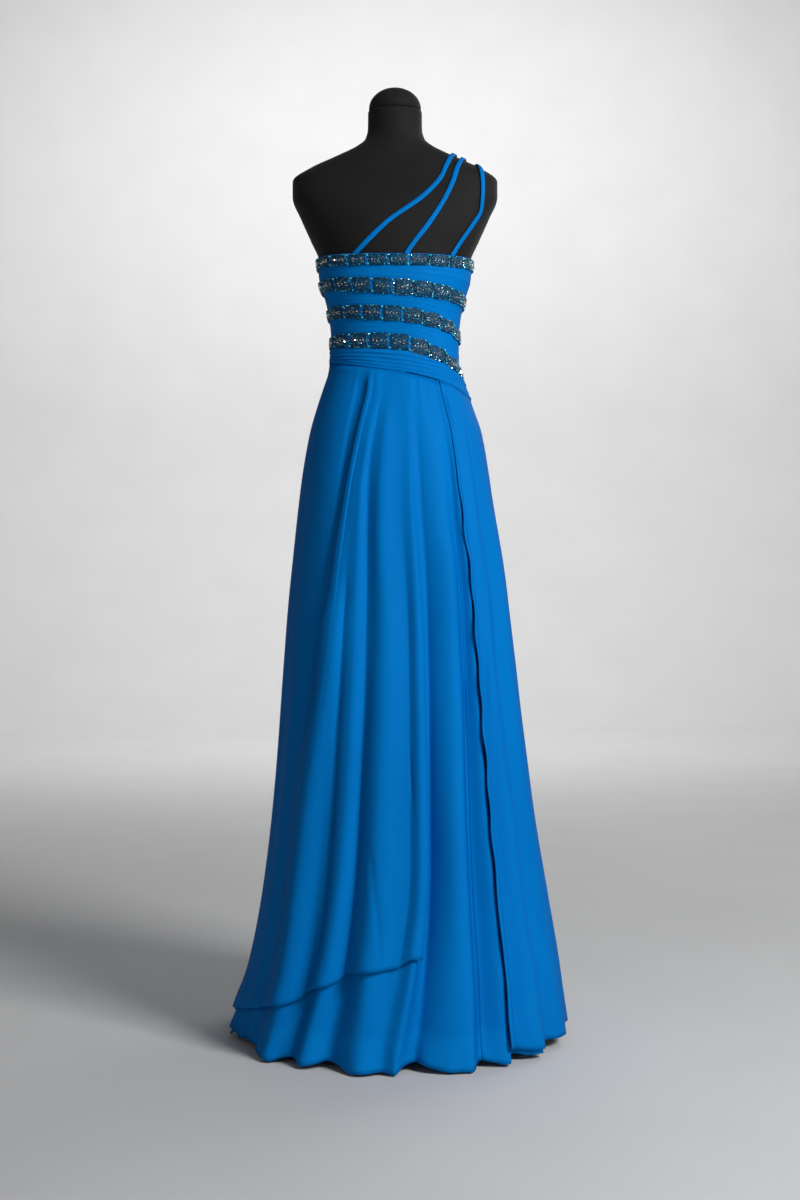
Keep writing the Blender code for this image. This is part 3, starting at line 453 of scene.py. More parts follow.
def bust_share(azimuth):
    """1 over the middle of each side of the bust, 0 away from it."""
    away = np.abs(180 - np.abs(wrap(azimuth)))
    return np.exp(-((away - BUST_AZIMUTH) / BUST_SPREAD) ** 2)


def bust(azimuth, height):
    """Rise of the front over the bust."""
    return BUST_DEPTH * bust_share(azimuth) * np.exp(-((height - BUST_HEIGHT) / BUST_RISE) ** 2)


def body_points(azimuth, height, ease=0.0):
    """Points on the form, or on the cloth laid on it."""
    width = HALF_WIDTH(height) + ease
    front = FRONT(height) + ease + bust(azimuth, height)
    return section(azimuth, height, (width, width, BACK(height) + ease, front), SQUARENESS(height))


def base_points(azimuth, height):
    """Inside surface of the gown without its folds."""
    upper = body_points(azimuth, height, BODY_EASE)
    lower = section(azimuth, height, [curve(height) for curve in SKIRT], SKIRT_SQUARENESS)
    return np.where((height >= SKIRT_TOP)[..., None], upper, lower)


def unit(vectors):
    """Vectors of length one."""
    return vectors / np.maximum(np.linalg.norm(vectors, axis=-1, keepdims=True), 1e-12)


def base_along(azimuth, height):
    """Directions round the inside surface, not of length one."""
    return base_points(azimuth + 0.4, height) - base_points(azimuth - 0.4, height)


def base_normals(azimuth, height):
    """Outward directions of the inside surface."""
    upward = base_points(azimuth, height + 0.002) - base_points(azimuth, height - 0.002)
    return unit(np.cross(base_along(azimuth, height), upward))


def lifted(azimuth, height, offset):
    """Points of the gown's inside surface moved outward."""
    azimuth, height, offset = np.broadcast_arrays(azimuth, height, offset)
    return base_points(azimuth, height) + base_normals(azimuth, height) * offset[..., None]


def neckline(azimuth):
    """Top edge of the bodice."""
    return NECK_HEIGHT(wrap(azimuth)) + NECKLINE_CUP * bust_share(azimuth)


def trim_edges(name, azimuth):
    """Upper and lower edge of a beaded trim."""
    if name == TRIM_NAMES[0]:
        top = neckline(azimuth) - NECK_TRIM_DROP
        return top, top - NECK_TRIM_HEIGHT
    facing = np.abs(np.cos(np.radians(azimuth)))
    half = TRIMS[name][1] * (TRIM_SIDE_SHARE + (1 - TRIM_SIDE_SHARE) * facing) / 2
    middle = TRIM_MIDDLES[name](wrap(azimuth))
    return middle + half, middle - half


def ring_wave(seed, count, low, high):
    """Smooth uneven wave round the gown from a few whole waves of fixed seed, between -1 and 1."""
    draw = np.random.default_rng(seed)
    rates = draw.integers(low, high + 1, count)
    phases = draw.uniform(0, math.tau, count)
    sizes = draw.uniform(0.5, 1.0, count)
    sizes = sizes / sizes.sum()

    def value(azimuth):
        total = 0.0
        for rate, phase, size in zip(rates, phases, sizes):
            total = total + size * np.sin(np.radians(azimuth) * rate + phase)
        return total

    return value


def line_wave(seed, count, shortest, longest):
    """Smooth uneven wave along a length in metres, between -1 and 1."""
    draw = np.random.default_rng(seed)
    lengths = draw.uniform(shortest, longest, count)
    phases = draw.uniform(0, math.tau, count)

    def value(place):
        total = 0.0
        for length, phase in zip(lengths, phases):
            total = total + np.sin(place * math.tau / length + phase) / count
        return total

    return value


# Meshes

def sheet_mesh(name, points, material, closed=False, uv=None, weights=None, looks=None):
    """Sheet through a grid of points, a row per line, made from a bmesh grid."""
    rows, columns = points.shape[:2]
    work = bmesh.new()
    work.loops.layers.uv.new("cloth")
    bmesh.ops.create_grid(work, x_segments=columns - 1, y_segments=rows - 1, size=0.5, calc_uvs=True)
    for vert, place in zip(work.verts, points.reshape(-1, 3)):
        vert.co = place
    mesh = bpy.data.meshes.new(name)
    work.to_mesh(mesh)
    work.free()
    corner = np.zeros(len(mesh.loops), np.int32)
    mesh.loops.foreach_get("vertex_index", corner)
    if uv is not None:
        values = uv.reshape(-1, 2)[corner].astype(np.float32)
        mesh.uv_layers["cloth"].data.foreach_set("uv", values.ravel())
    if looks is not None:
        cells = corner.reshape(-1, 4).min(axis=1) % columns
        mesh.polygons.foreach_set("material_index", looks[cells].astype(np.int32))
    if closed:
        work = bmesh.new()
        work.from_mesh(mesh)
        edge = [vert for vert in work.verts if vert.is_boundary]
        bmesh.ops.remove_doubles(work, verts=edge, dist=0.00002)
        work.to_mesh(mesh)
        work.free()
    face_out(mesh)
    made = bpy.data.objects.new(name, mesh)
    bpy.context.scene.collection.objects.link(made)
    for look in material if isinstance(material, tuple) else (material,):
        mesh.materials.append(look)
    mesh.polygons.foreach_set("use_smooth", [True] * len(mesh.polygons))
    if weights is not None:
        group = made.vertex_groups.new(name="edge")
        levels = np.round(weights.ravel(), 2)
        for level in np.unique(levels):
            group.add([int(i) for i in np.nonzero(levels == level)[0]], float(level), "REPLACE")
    return made


def face_out(mesh):
    """Turns the faces so that they look away from the middle of the gown."""
    normals = np.zeros(len(mesh.polygons) * 3, np.float32)
    centres = np.zeros(len(mesh.polygons) * 3, np.float32)
    mesh.polygons.foreach_get("normal", normals)
    mesh.polygons.foreach_get("center", centres)
    normals = normals.reshape(-1, 3)
    centres = centres.reshape(-1, 3)
    if (normals[:, :2] * centres[:, :2]).sum() < 0:
        mesh.flip_normals()


def thicken(piece, thickness, graded=False):
    """Gives a sheet its wall; a graded one is thicker at its rolled edges."""
    modifier = piece.modifiers.new("wall", "SOLIDIFY")
    modifier.thickness = thickness
    modifier.offset = -1.0
    if graded:
        modifier.vertex_group = "edge"


def place_piece(piece, *nodes, slot):
    """Sets a piece on the frame in place of its plain solids."""
    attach(piece, "root")
    if nodes:
        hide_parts(*nodes)


# Folds of the skirt

FOLD_AZIMUTHS = [Curve(FOLD_HEIGHTS, row[1]) for row in FOLDS]
FOLD_RISES = [Curve(FOLD_HEIGHTS, row[2]) for row in FOLDS]
RIPPLE_STRENGTH = Curve(column(RIPPLE_ROWS, 0), column(RIPPLE_ROWS, 1))
RIPPLE_LIFT = Curve(column(RIPPLE_ROWS, 0), column(RIPPLE_ROWS, 2))


def fold_at(places, height):
    """Azimuth and offset in metres at running fold places and heights of the same shape."""
    count = len(FOLDS)
    azimuth = np.zeros_like(height)
    offset = np.zeros_like(height)
    numbers = np.floor(places).astype(int)
    for number in np.unique(numbers):
        mask = numbers == number
        here = number % count
        after = (here + 1) % count
        share = places[mask] - number
        z = height[mask]
        turn = 360.0 * (number // count)
        end_turn = turn + (360.0 if after == 0 else 0.0)
        start = FOLD_AZIMUTHS[here](z) + turn
        end = FOLD_AZIMUTHS[after](z) + end_turn
        azimuth[mask] = start + (end - start) * share
        blend = eased(share ** DROPS.get(FOLDS[here][0], 1.0))
        offset[mask] = (FOLD_RISES[here](z) * (1 - blend) + FOLD_RISES[after](z) * blend) / 1000
    return azimuth, offset


def running_numbers(names):
    """Growing numbers of a chain of named folds round the skirt."""
    numbers = [FOLD_NUMBERS[names[0]]]
    for name in names[1:]:
        number = FOLD_NUMBERS[name]
        while number <= numbers[-1]:
            number += len(FOLDS)
        numbers.append(number)
    return numbers


def fold_columns(names, per_degree):
    """Running places over a chain of named folds, even near the hem, and the columns of its seams."""
    numbers = running_numbers(names)
    marks = np.arange(numbers[0], numbers[-1] + 1)
    azimuths = fold_at(marks + 0.0, np.full(marks.shape, 0.30))[0]
    places = np.array([float(numbers[0])])
    seams = [0]
    for start, end in zip(numbers[:-1], numbers[1:]):
        low = azimuths[start - numbers[0]]
        high = azimuths[end - numbers[0]]
        count = max(6, round((high - low) * per_degree))
        spread = np.interp(np.linspace(low, high, count + 1), azimuths, marks)
        places = np.concatenate([places, spread[1:]])
        seams.append(len(places) - 1)
    return places, seams


def widened(places):
    """The same places with one more at each end, so that edges get the directions of their neighbours."""
    before = 2 * places[0] - places[1]
    after = 2 * places[-1] - places[-2]
    return np.concatenate([[before], places, [after]])


def fold_surface(places, shares, hem):
    """Smooth skirt: points, outward directions, azimuths, heights, shares of the full length, offsets."""
    places, shares = np.broadcast_arrays(places[None, :], shares[:, None])
    height = np.full(places.shape, 0.6)
    for i in range(7):
        azimuth = fold_at(places, height)[0]
        top = SASH_EDGE(wrap(azimuth)) - SKIRT_DROP
        height = top + (hem(wrap(azimuth)) - top) * shares
    azimuth, offset = fold_at(places, height)
    whole = (top - height) / (top - SKIRT_HEM)
    offset = offset * eased(whole / FOLD_START)
    spots = base_points(azimuth, height)
    along = base_along(azimuth, height)
    outward = unit(np.stack([along[..., 1], -along[..., 0], 0 * height], axis=-1))
    points = spots + outward * offset[..., None]
    across = np.gradient(points, axis=1)
    normals = unit(np.cross(across, -np.gradient(points, axis=0)))
    return points, normals, azimuth, height, whole, offset


def crease_rise(places, points, height):
    """Soft troughs and ridges from the table of creases, in metres."""
    running = np.broadcast_to(places[None, :], height.shape)
    pace = np.linalg.norm(np.gradient(points, axis=1), axis=-1) / np.gradient(places)[None, :]
    total = np.zeros(height.shape)
    half = len(FOLDS) / 2
    for _, start, end, top, foot, width, rise, sharpness, lean in CREASES:
        share = np.clip((top - height) / (top - foot), 0, 1)
        line = start + (end - start) * share
        away = ((running - line + half) % len(FOLDS) - half) * pace * 1000 / width
        away = away / np.where(away > 0, 1 + lean, 1 - lean)
        fade = eased((top - height) / CREASE_FADE + 0.3) * eased((height - foot) / (2 * CREASE_FADE) + 0.25)
        total = total + rise / 1000 * np.exp(-np.abs(away) ** sharpness) * fade
    return total


def skirt_rise(places, points, azimuth, height, whole, sizes):
    """How far the skirt's cloth stands off its smooth folds, the same for every layer."""
    drift = ring_wave(41, 5, 9, 22)(azimuth + 9 * np.sin(height * 5.1))
    drift = drift * ring_wave(42, 3, 2, 5)(azimuth + 260 * height)
    gathers = ring_wave(43, 7, 34, 66)(azimuth + 10 * whole) * eased(whole / 0.012) * np.exp(-whole / 0.07)
    creases = crease_rise(places, points, height) * eased(whole / 0.03)
    return creases + sizes.uneven * drift * eased(whole / 0.15) + sizes.gather * gathers


def hem_ripple(azimuth, down, offset, sizes):
    """Outward wave and upward shift of a hem in metres; down is 1 at the edge."""
    strength = RIPPLE_STRENGTH(wrap(azimuth - 90) + 90)
    lift = RIPPLE_LIFT(wrap(azimuth - 90) + 90) / 1000
    wave = ring_wave(44, 5, 34, 54)(azimuth)
    slow = ring_wave(45, 4, 12, 20)(azimuth)
    low = eased((down - 0.945) / 0.055) ** 1.3
    outward = sizes.ripple * 1.7 * strength * wave * low
    outward = outward + sizes.ripple * 0.55 * slow * (1 - 0.5 * strength) * low
    hollow = np.clip(-offset / DEEPEST_FOLD, 0, 1)
    upward = (HEM_LIFT * hollow + lift) * eased((down - 0.90) / 0.10)
    lettuce = ring_wave(46, 4, 36, 60)(azimuth + 2)
    upward = upward + 0.0056 * strength * (0.62 + lettuce) * eased((down - 0.965) / 0.035)
    return outward, upward


def cloth_uv(points):
    """Lengths along and down the cloth, in metres, from its lower edge."""
    along = np.linalg.norm(np.diff(points, axis=1), axis=-1)
    middle = np.concatenate([[0], np.cumsum(along[int(points.shape[0] * 0.6)])])
    down = np.linalg.norm(np.diff(points, axis=0), axis=-1).mean(axis=1)
    run = np.concatenate([[0], np.cumsum(down)])
    u, v = np.meshgrid(middle, run[-1] - run)
    return np.stack([u, v], axis=-1)


def edge_weights(rows, columns, sides, base):
    """1 on the rolled edges and a small share elsewhere; sides names the edges that are rolled."""
    weights = np.full((rows, columns), base)
    if "hem" in sides:
        weights[-2:, :] = 1.0
    if "first" in sides:
        weights[:, :2] = 1.0
    if "last" in sides:
        weights[:, -2:] = 1.0
    return weights


def add_skirt_layer(panels, hem, per_degree, over, material):
    """One layer of the skirt, sliced at its seams into one shell for each solid."""
    sizes = bpy.context.scene.gown_sizes
    names = [panels[0][1]] + [panel[2] for panel in panels]
    places, seams = fold_columns(names, per_degree)
    wide = widened(places)
    shares = np.linspace(0, 1, LAYER_ROWS) ** LAYER_ROW_POWER
    points, normals, azimuth, height, whole, offset = fold_surface(wide, shares, hem)
    down = shares[:, None] + 0 * azimuth
    rise = WALL + skirt_rise(wide, points, azimuth, height, whole, sizes)
    outward, upward = hem_ripple(azimuth, down, offset, sizes)
    if over:
        outward = outward * 0.35 + sizes.ripple * 0.25 * eased((down - 0.93) / 0.07)
        upward = upward * 0.25
        rise = rise + free_edge_rise(azimuth, whole)
    points = points + normals * (rise + outward)[..., None]
    if over:
        points = points + edge_flutter(points, normals, height, sizes)
    points[..., 2] = np.maximum(points[..., 2] + upward, LOWEST_CLOTH)
    points = points[:, 1:-1]
    uv = cloth_uv(points)
    rolled = ("hem", "first", "last") if over else ("hem",)
    weights = edge_weights(LAYER_ROWS, len(places), rolled, sizes.cloth / sizes.hem_roll)
    for panel, start, end in zip(panels, seams[:-1], seams[1:]):
        name = panel[0]
        cut = slice(start, end + 1)
        piece = sheet_mesh(name + "_cloth", points[:, cut], material, uv=uv[:, cut], weights=weights[:, cut])
        thicken(piece, sizes.hem_roll, graded=True)
        place_piece(piece, name, slot="azure_chiffon")


def free_edge_rise(azimuth, whole):
    """How far an overlay stands off the skirt: clear of it everywhere, and more along its free edges."""
    edge = np.minimum(azimuth - azimuth[:, 1:2], azimuth[:, -2:-1] - azimuth)
    lift = np.clip(1 - edge / EDGE_LIFT_WIDTH, 0, 1) ** 2
    stand = OVERLAY_STAND * eased(whole / 0.5)
    return WALL + LAYER_GAP + stand + EDGE_LIFT * lift * eased(whole / 0.6)


def edge_flutter(points, normals, height, sizes):
    """Small S-bends of the free edges, along and off the skirt."""
    along = unit(np.gradient(points, axis=1))
    step = np.linalg.norm(np.diff(points, axis=1), axis=-1)
    run = np.concatenate([0 * step[:, :1], np.cumsum(step, axis=1)], axis=1)
    total = 0
    for side, seed, size in ((0, 51, 1.0), (1, 52, 0.35)):
        away = run if side == 0 else run[:, -1:] - run
        near = np.exp(-(away / 0.014) ** 2) * eased((1.10 - height) / 0.25)
        sideways = line_wave(seed, 3, 0.055, 0.16)(height) * sizes.flutter * size
        outward = (0.5 + line_wave(seed + 10, 3, 0.05, 0.12)(height)) * sizes.flutter * 0.6 * size
        total = total + along * (near * sideways)[..., None] + normals * (near * outward)[..., None]
    return total


# Materials

def set_inputs(tree, made, values):
    """Sets the sockets of a node to plain values, or links them to the sockets that are given."""
    for key, value in values.items():
        if isinstance(value, bpy.types.NodeSocket):
            tree.links.new(value, made.inputs[key])
        else:
            made.inputs[key].default_value = value


def node(tree, kind, inputs, **values):
    """Adds a node and sets its plain properties, then its sockets."""
    made = tree.nodes.new(kind)
    for key, value in values.items():
        setattr(made, key, value)
    set_inputs(tree, made, inputs)
    return made


def noise(tree, place, scale, detail=2.0):
    """Noise between 0 and 1."""
    inputs = {"Vector": place, "Scale": scale, "Detail": detail}
    return node(tree, "ShaderNodeTexNoise", inputs).outputs["Fac"]


def ramp(tree, factor, first, second, places=(0.0, 1.0)):
    """Colour that runs from the first to the second between two places."""
    made = node(tree, "ShaderNodeValToRGB", {"Fac": factor})
    for stop, colour, place in zip(made.color_ramp.elements, (first, second), places):
        stop.position = place
        stop.color = (*colour, 1)
    return made.outputs["Color"]


def map_range(tree, value, before, after, kind="LINEAR"):
    """Value moved from one range to another."""
    inputs = {
        "Value": value, "From Min": before[0], "From Max": before[1], "To Min": after[0], "To Max": after[1],
    }
    return node(tree, "ShaderNodeMapRange", inputs, interpolation_type=kind).outputs["Result"]


def mix_colour(tree, factor, first, second):
    """Mix of two colours, each a socket or a plain colour."""
    mix = node(tree, "ShaderNodeMix", {}, data_type="RGBA")
    set_inputs(tree, mix, {"Factor": factor, "A": first, "B": second})
    return mix.outputs["Result"]


def bump(tree, height, strength, distance):
    """Normal of a fine relief."""
    inputs = {"Height": height, "Strength": strength, "Distance": distance}
    return node(tree, "ShaderNodeBump", inputs).outputs["Normal"]


def new_material(name):
    """Material, its node tree and the places that its textures can use."""
    made = bpy.data.materials.new(name)
    made.use_nodes = True
    return made, made.node_tree, node(made.node_tree, "ShaderNodeTexCoord", {}).outputs


def set_shader(tree, values):
    """Sets or links the sockets of the material's own shader."""
    set_inputs(tree, tree.nodes["Principled BSDF"], values)


def cloth_weave_group():
    """Sheer weave: fine height and slow tone from lengths along the cloth."""
    tree = bpy.data.node_groups.get("sheer_weave")
    if tree:
        return tree
    tree = bpy.data.node_groups.new("sheer_weave", "ShaderNodeTree")
    tree.interface.new_socket(name="Vector", in_out="INPUT", socket_type="NodeSocketVector")
    start = tree.nodes.new("NodeGroupInput")
    end = tree.nodes.new("NodeGroupOutput")
    for name, scale, detail in (("Height", (900, 900, 900), 2.0), ("Tone", (9.0, 2.2, 9.0), 3.0)):
        tree.interface.new_socket(name=name, in_out="OUTPUT", socket_type="NodeSocketFloat")
        mapping = node(tree, "ShaderNodeMapping", {"Vector": start.outputs["Vector"], "Scale": scale})
        set_inputs(tree, end, {name: noise(tree, mapping.outputs["Vector"], 1.0, detail)})
    return tree


def chiffon_material(name, colours, unlined=False):
    """Azure chiffon, deeper where it is seen along its face, partly its denser weave edge-on and partly
    painted shade on the flanks of folds; lighter at its foot where it is unlined.
    """
    made, tree, place = new_material(name)
    light, deep_and_painted_shade, thin = [(*c, 1) for c in (colours.chiffon, colours.chiffon_deep_and_painted_shade, colours.chiffon_thin)]
    weave = node(tree, "ShaderNodeGroup", {}, node_tree=cloth_weave_group())
    set_inputs(tree, weave, {"Vector": place["UV"]})
    tone = map_range(tree, weave.outputs["Tone"], (0.36, 0.66), (0.0, 0.22))
    colour = mix_colour(tree, tone, light, deep_and_painted_shade)
    if unlined:
        up = node(tree, "ShaderNodeSeparateXYZ", {0: place["UV"]}).outputs["Y"]
        below = map_range(tree, up, (0.044, 0.056), (0.34, 0.0), "SMOOTHSTEP")
        colour = mix_colour(tree, below, colour, thin)
    # Painted shade: deeper where the cloth is seen along its face, partly the weave seen edge-on and partly
    # standing in for the shading of the fold flanks
    edge = node(tree, "ShaderNodeLayerWeight", {"Blend": 0.22})
    set_shader(tree, {
        "Base Color": mix_colour(tree, edge.outputs["Facing"], colour, deep_and_painted_shade),
        "Normal": bump(tree, weave.outputs["Height"], 0.25, 0.0003),
        "Roughness": 0.60,
        "Specular IOR Level": 0.02,
        "Sheen Weight": 0.03,
        "Sheen Roughness": 0.40,
        "Sheen Tint": (0.02, 0.35, 1.0, 1),
    })
    return made


def bead_material(name, colour, second, metallic, roughness, coat, specular=0.5):
    """Glass or metal bead whose tone shifts from bead to bead."""
    made, tree, place = new_material(name)
    set_shader(tree, {
        "Base Color": ramp(tree, noise(tree, place["Object"], 210.0, 1.0), second, colour, (0.38, 0.58)),
        "Metallic": metallic,
        "Roughness": roughness,
        "Specular IOR Level": specular,
        "Coat Weight": coat,
        "Coat Roughness": 0.06,
    })
    return made


def net_material(name, colour):
    """Dark net ground of the trims, covered with tiny beads."""
    made, tree, place = new_material(name)
    inputs = {"Vector": place["Object"], "Scale": 620.0}
    cells = node(tree, "ShaderNodeTexVoronoi", inputs).outputs["Distance"]
    domes = node(tree, "ShaderNodeMath", {0: 1.0, 1: cells}, operation="SUBTRACT").outputs[0]
    set_shader(tree, {
        "Base Color": ramp(tree, cells, (0.002, 0.085, 0.180), colour, (0.25, 0.75)),
        "Normal": bump(tree, domes, 0.8, 0.0006),
        "Roughness": 0.45,
        "Specular IOR Level": 0.15,
    })
    return made


def jersey_material(name, colour):
    """Black knitted cover of the form."""
    made, tree, place = new_material(name)
    dark, pale = [[share * value for value in colour] for share in (0.75, 1.35)]
    set_shader(tree, {
        "Base Color": ramp(tree, noise(tree, place["Object"], 9.0, 3.0), dark, pale, (0.35, 0.65)),
        "Normal": bump(tree, noise(tree, place["Object"], 900.0), 0.3, 0.0004),
        "Roughness": 0.80,
        "Specular IOR Level": 0.25,
        "Sheen Weight": 0.02,
    })
    return made


def metal_material(name):
    """Satin black paint on steel, a little worn."""
    made, tree, place = new_material(name)
    wear = noise(tree, place["Object"], 60.0, 5.0)
    set_shader(tree, {
        "Base Color": ramp(tree, wear, (0.012, 0.012, 0.013), (0.022, 0.022, 0.024)),
        "Roughness": map_range(tree, wear, (0.0, 1.0), (0.32, 0.52)),
        "Metallic": 0.4,
    })
    return made


def floor_material(name):
    """Plain pale floor."""
    made, tree, place = new_material(name)
    shade = noise(tree, place["Object"], 3.0)
    set_shader(tree, {
        "Base Color": ramp(tree, shade, (0.56, 0.56, 0.56), (0.61, 0.61, 0.605)),
        "Roughness": 0.7,
    })
    return made


# Operators

class GOWN_OT_form(bpy.types.Operator):
    """Smooth torso and neck cap, and the paint of pole, collar and base"""

    bl_idname = "gown.form"
    bl_label = "Form and stand"

    def execute(self, context):
        jersey = jersey_material("black_jersey_cover", context.scene.gown_colours.jersey)
        metal = metal_material("black_paint")
        heights = np.concatenate([
            np.linspace(1.6048, 1.35, 70), np.linspace(1.345, 1.06, 40), np.linspace(1.05, 0.8, 24),
        ])
        azimuths = np.linspace(-180, 180, 145)
        grid_z, grid_a = np.meshgrid(heights, azimuths, indexing="ij")
        points = body_points(grid_a, grid_z)
        neck, inner, centre = [
            ring * np.array([share, share, 1.0])
            for ring, share in ((points[:1], 0.3), (points[-1:], 0.9), (points[-1:], 0.05))
        ]
        points = np.concatenate([neck, points, inner, centre])
        torso = sheet_mesh("torso_cover", points, jersey, closed=True)
        place_piece(torso, "form_torso", slot="black_jersey")
        self.neck_cap(jersey)
        for name in ("form_pole", "form_base", "form_collar"):
            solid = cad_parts[name]
            solid.data.materials.clear()
            solid.data.materials.append(metal)
        return {"FINISHED"}

    def neck_cap(self, jersey):
        turns = np.linspace(0, math.pi / 2, 18)[:-1]
        radii = [CAP_RADIUS * 0.02, CAP_RADIUS - 0.0015, CAP_RADIUS]
        radii += [CAP_RADIUS * math.cos(turn) for turn in turns]
        heights = [CAP_FOOT, CAP_FOOT, CAP_FOOT + 0.0015]
        heights += [CAP_FOOT + CAP_LIP + CAP_CROWN * math.sin(turn) for turn in turns]
        azimuths = np.radians(np.linspace(-180, 180, 73))
        rings = [
            np.stack([radius * np.sin(azimuths), -radius * np.cos(azimuths), height + 0 * azimuths], axis=-1)
            for radius, height in zip(radii, heights)
        ]
        rise = CAP_FOOT + CAP_LIP + CAP_CROWN - heights[-1]
        rings.append(rings[-1] * np.array([0.02, 0.02, 1]) + np.array([0, 0, rise]))
        points = np.array(rings)[::-1]
        points[:, -1] = points[:, 0]
        cap = sheet_mesh("neck_cap_cover", points, jersey, closed=True)
        place_piece(cap, "form_neck_cap", slot="black_jersey")


class GOWN_OT_bodice(bpy.types.Operator):
    """Tucked chiffon of the bodice, back and front"""

    bl_idname = "gown.bodice"
    bl_label = "Bodice"

    def execute(self, context):
        look = chiffon_material("tucked_chiffon", context.scene.gown_colours)
        sides = {"bodice_back": (-89.9, 89.9), "bodice_front": (90.1, 269.9)}
        for name, (first, last) in sides.items():
            azimuths = np.linspace(first, last, BODICE_COLUMNS)
            heights, rises = bodice_rows(azimuths, context.scene.gown_sizes)
            points = lifted(azimuths[None, :], heights, WALL + rises)
            weights = edge_weights(*points.shape[:2], (), BODICE_WALL_SHARE)
            weights[:2, :] = 1.0
            piece = sheet_mesh(name + "_cloth", points, look, uv=cloth_uv(points), weights=weights)
            thicken(piece, BODICE_EDGE, graded=True)
            place_piece(piece, name, slot="pleated_chiffon")
        return {"FINISHED"}


def bodice_rows(azimuths, sizes):
    """Heights and rises of the bodice's rows: flat under the trims, soft fading tucks between them."""
    heights = []
    rises = []
    low = None
    steps = sizes.tucks * ROWS_IN_TUCK
    for number, name in enumerate(TRIM_NAMES):
        top, bottom = trim_edges(name, azimuths)
        if number == 0:
            top = neckline(azimuths)
        if low is not None:
            for i in range(1, steps):
                share = i / steps
                heights.append(low + (top - low) * share)
                rises.append(tuck_rise(azimuths, share, number, sizes))
        for share in (0.0, 0.5, 1.0):
            heights.append(top + (bottom - top) * share)
            rises.append(0 * azimuths)
        low = bottom
    foot = SASH_EDGE(wrap(azimuths))
    for share in (0.25, 0.5, 0.75, 1.0):
        heights.append(low + (foot - low) * share)
        rises.append(0 * azimuths)
    return np.array(heights), np.array(rises)


def tuck_rise(azimuths, share, number, sizes):
    """Rise of the cloth between two trims: uneven tucks that wander, fade and return."""
    total = 0.0
    for k in range(sizes.tucks):
        seed = 100 * number + 10 * k
        place = (k + 0.5) / sizes.tucks + 0.07 * ring_wave(seed + 1, 3, 1, 5)(azimuths)
        size = 0.25 + 0.75 * eased(0.5 + 0.9 * ring_wave(seed + 2, 3, 2, 7)(azimuths))
        width = 0.055 + 0.02 * ring_wave(seed + 3, 2, 1, 4)(azimuths)
        total = total + size * np.exp(-(((share - place) / width) ** 2))
    return sizes.tuck_depth * total * eased(share / 0.12) * eased((1 - share) / 0.12)


class GOWN_OT_sash(bpy.types.Operator):
    """Sash of long pleats drawn towards the right hip"""

    bl_idname = "gown.sash"
    bl_label = "Sash"

    def execute(self, context):
        sizes = context.scene.gown_sizes
        look = chiffon_material("sash_chiffon", context.scene.gown_colours)
        azimuths = np.linspace(-90, 270, SASH_COLUMNS)
        top = trim_edges(TRIM_NAMES[3], azimuths)[1] - 0.0003
        bottom = SASH_EDGE(wrap(azimuths)) - 0.0006
        rows = sizes.sash_pleats * ROWS_IN_PLEAT
        lean = 0.13 * np.sin(np.radians(azimuths - 25)) + 0.07 * ring_wave(31, 4, 2, 6)(azimuths)
        heights = []
        rises = []
        for i in range(rows + 1):
            share = i / rows
            inner = math.sin(math.pi * share)
            phase = (share + lean * inner ** 0.7) * sizes.sash_pleats
            pleat = np.floor(np.clip(phase, 0.001, sizes.sash_pleats - 0.001))
            part = phase - pleat
            swell = np.sin(np.pi / 2 * np.clip(part / PLEAT_SWELL, 0, 1)) ** 0.8
            rise = np.where(part < PLEAT_SWELL, swell, (1 - part) / 0.16)
            turn = np.radians(azimuths) * 2 + 2.1 * pleat
            size = 0.55 + 0.45 * np.sin(turn) * ring_wave(33, 3, 1, 3)(azimuths)
            size = size + 0.22 * ring_wave(34, 4, 6, 16)(azimuths + 41 * pleat)
            heights.append(top + (bottom - top) * share)
            rises.append(sizes.sash_depth * np.clip(rise, 0, 1) * np.clip(size, 0.15, 1.1))
        points = lifted(azimuths[None, :], np.array(heights), WALL + LAYER_GAP + SASH_STAND + np.array(rises))
        points[:, -1] = points[:, 0]
        piece = sheet_mesh("sash_cloth", points, look, closed=True, uv=cloth_uv(points))
        thicken(piece, 0.0009)
        place_piece(piece, "sash", slot="pleated_chiffon")
        return {"FINISHED"}


class GOWN_OT_skirt(bpy.types.Operator):
    """Gores of the skirt, down to the floor"""

    bl_idname = "gown.skirt"
    bl_label = "Skirt"

    def execute(self, context):
        look = chiffon_material("skirt_chiffon", context.scene.gown_colours, unlined=True)

        def hem(azimuth):
            return SKIRT_HEM + 0 * azimuth

        add_skirt_layer(GORES, hem, GORE_COLUMNS, False, look)
        return {"FINISHED"}


class GOWN_OT_overlays(bpy.types.Operator):
    """Wrapped overlays with free rolled edges"""

    bl_idname = "gown.overlays"
    bl_label = "Overlays"

    def execute(self, context):
        look = chiffon_material("overlay_chiffon", context.scene.gown_colours)
        for panels, table in ((LEFT_PANELS, LEFT_HEM), (RIGHT_PANELS, RIGHT_HEM)):
            hem = Curve(column(table, 0), column(table, 1))
            add_skirt_layer(panels, hem, OVERLAY_COLUMNS, True, look)
        return {"FINISHED"}


# Beads

def template(kind, **sizes):
    """Vertices and faces of one small bead, from a bmesh operator."""
    work = bmesh.new()
    if kind == "seed":
        bmesh.ops.create_icosphere(work, subdivisions=1, radius=1.0)
    else:
        bmesh.ops.create_cone(work, cap_ends=True, radius1=1.0, **sizes)
    work.verts.ensure_lookup_table()
    points = np.array([vert.co[:] for vert in work.verts])
    faces = [[vert.index for vert in face.verts] for face in work.faces]
    work.free()
    return points, faces


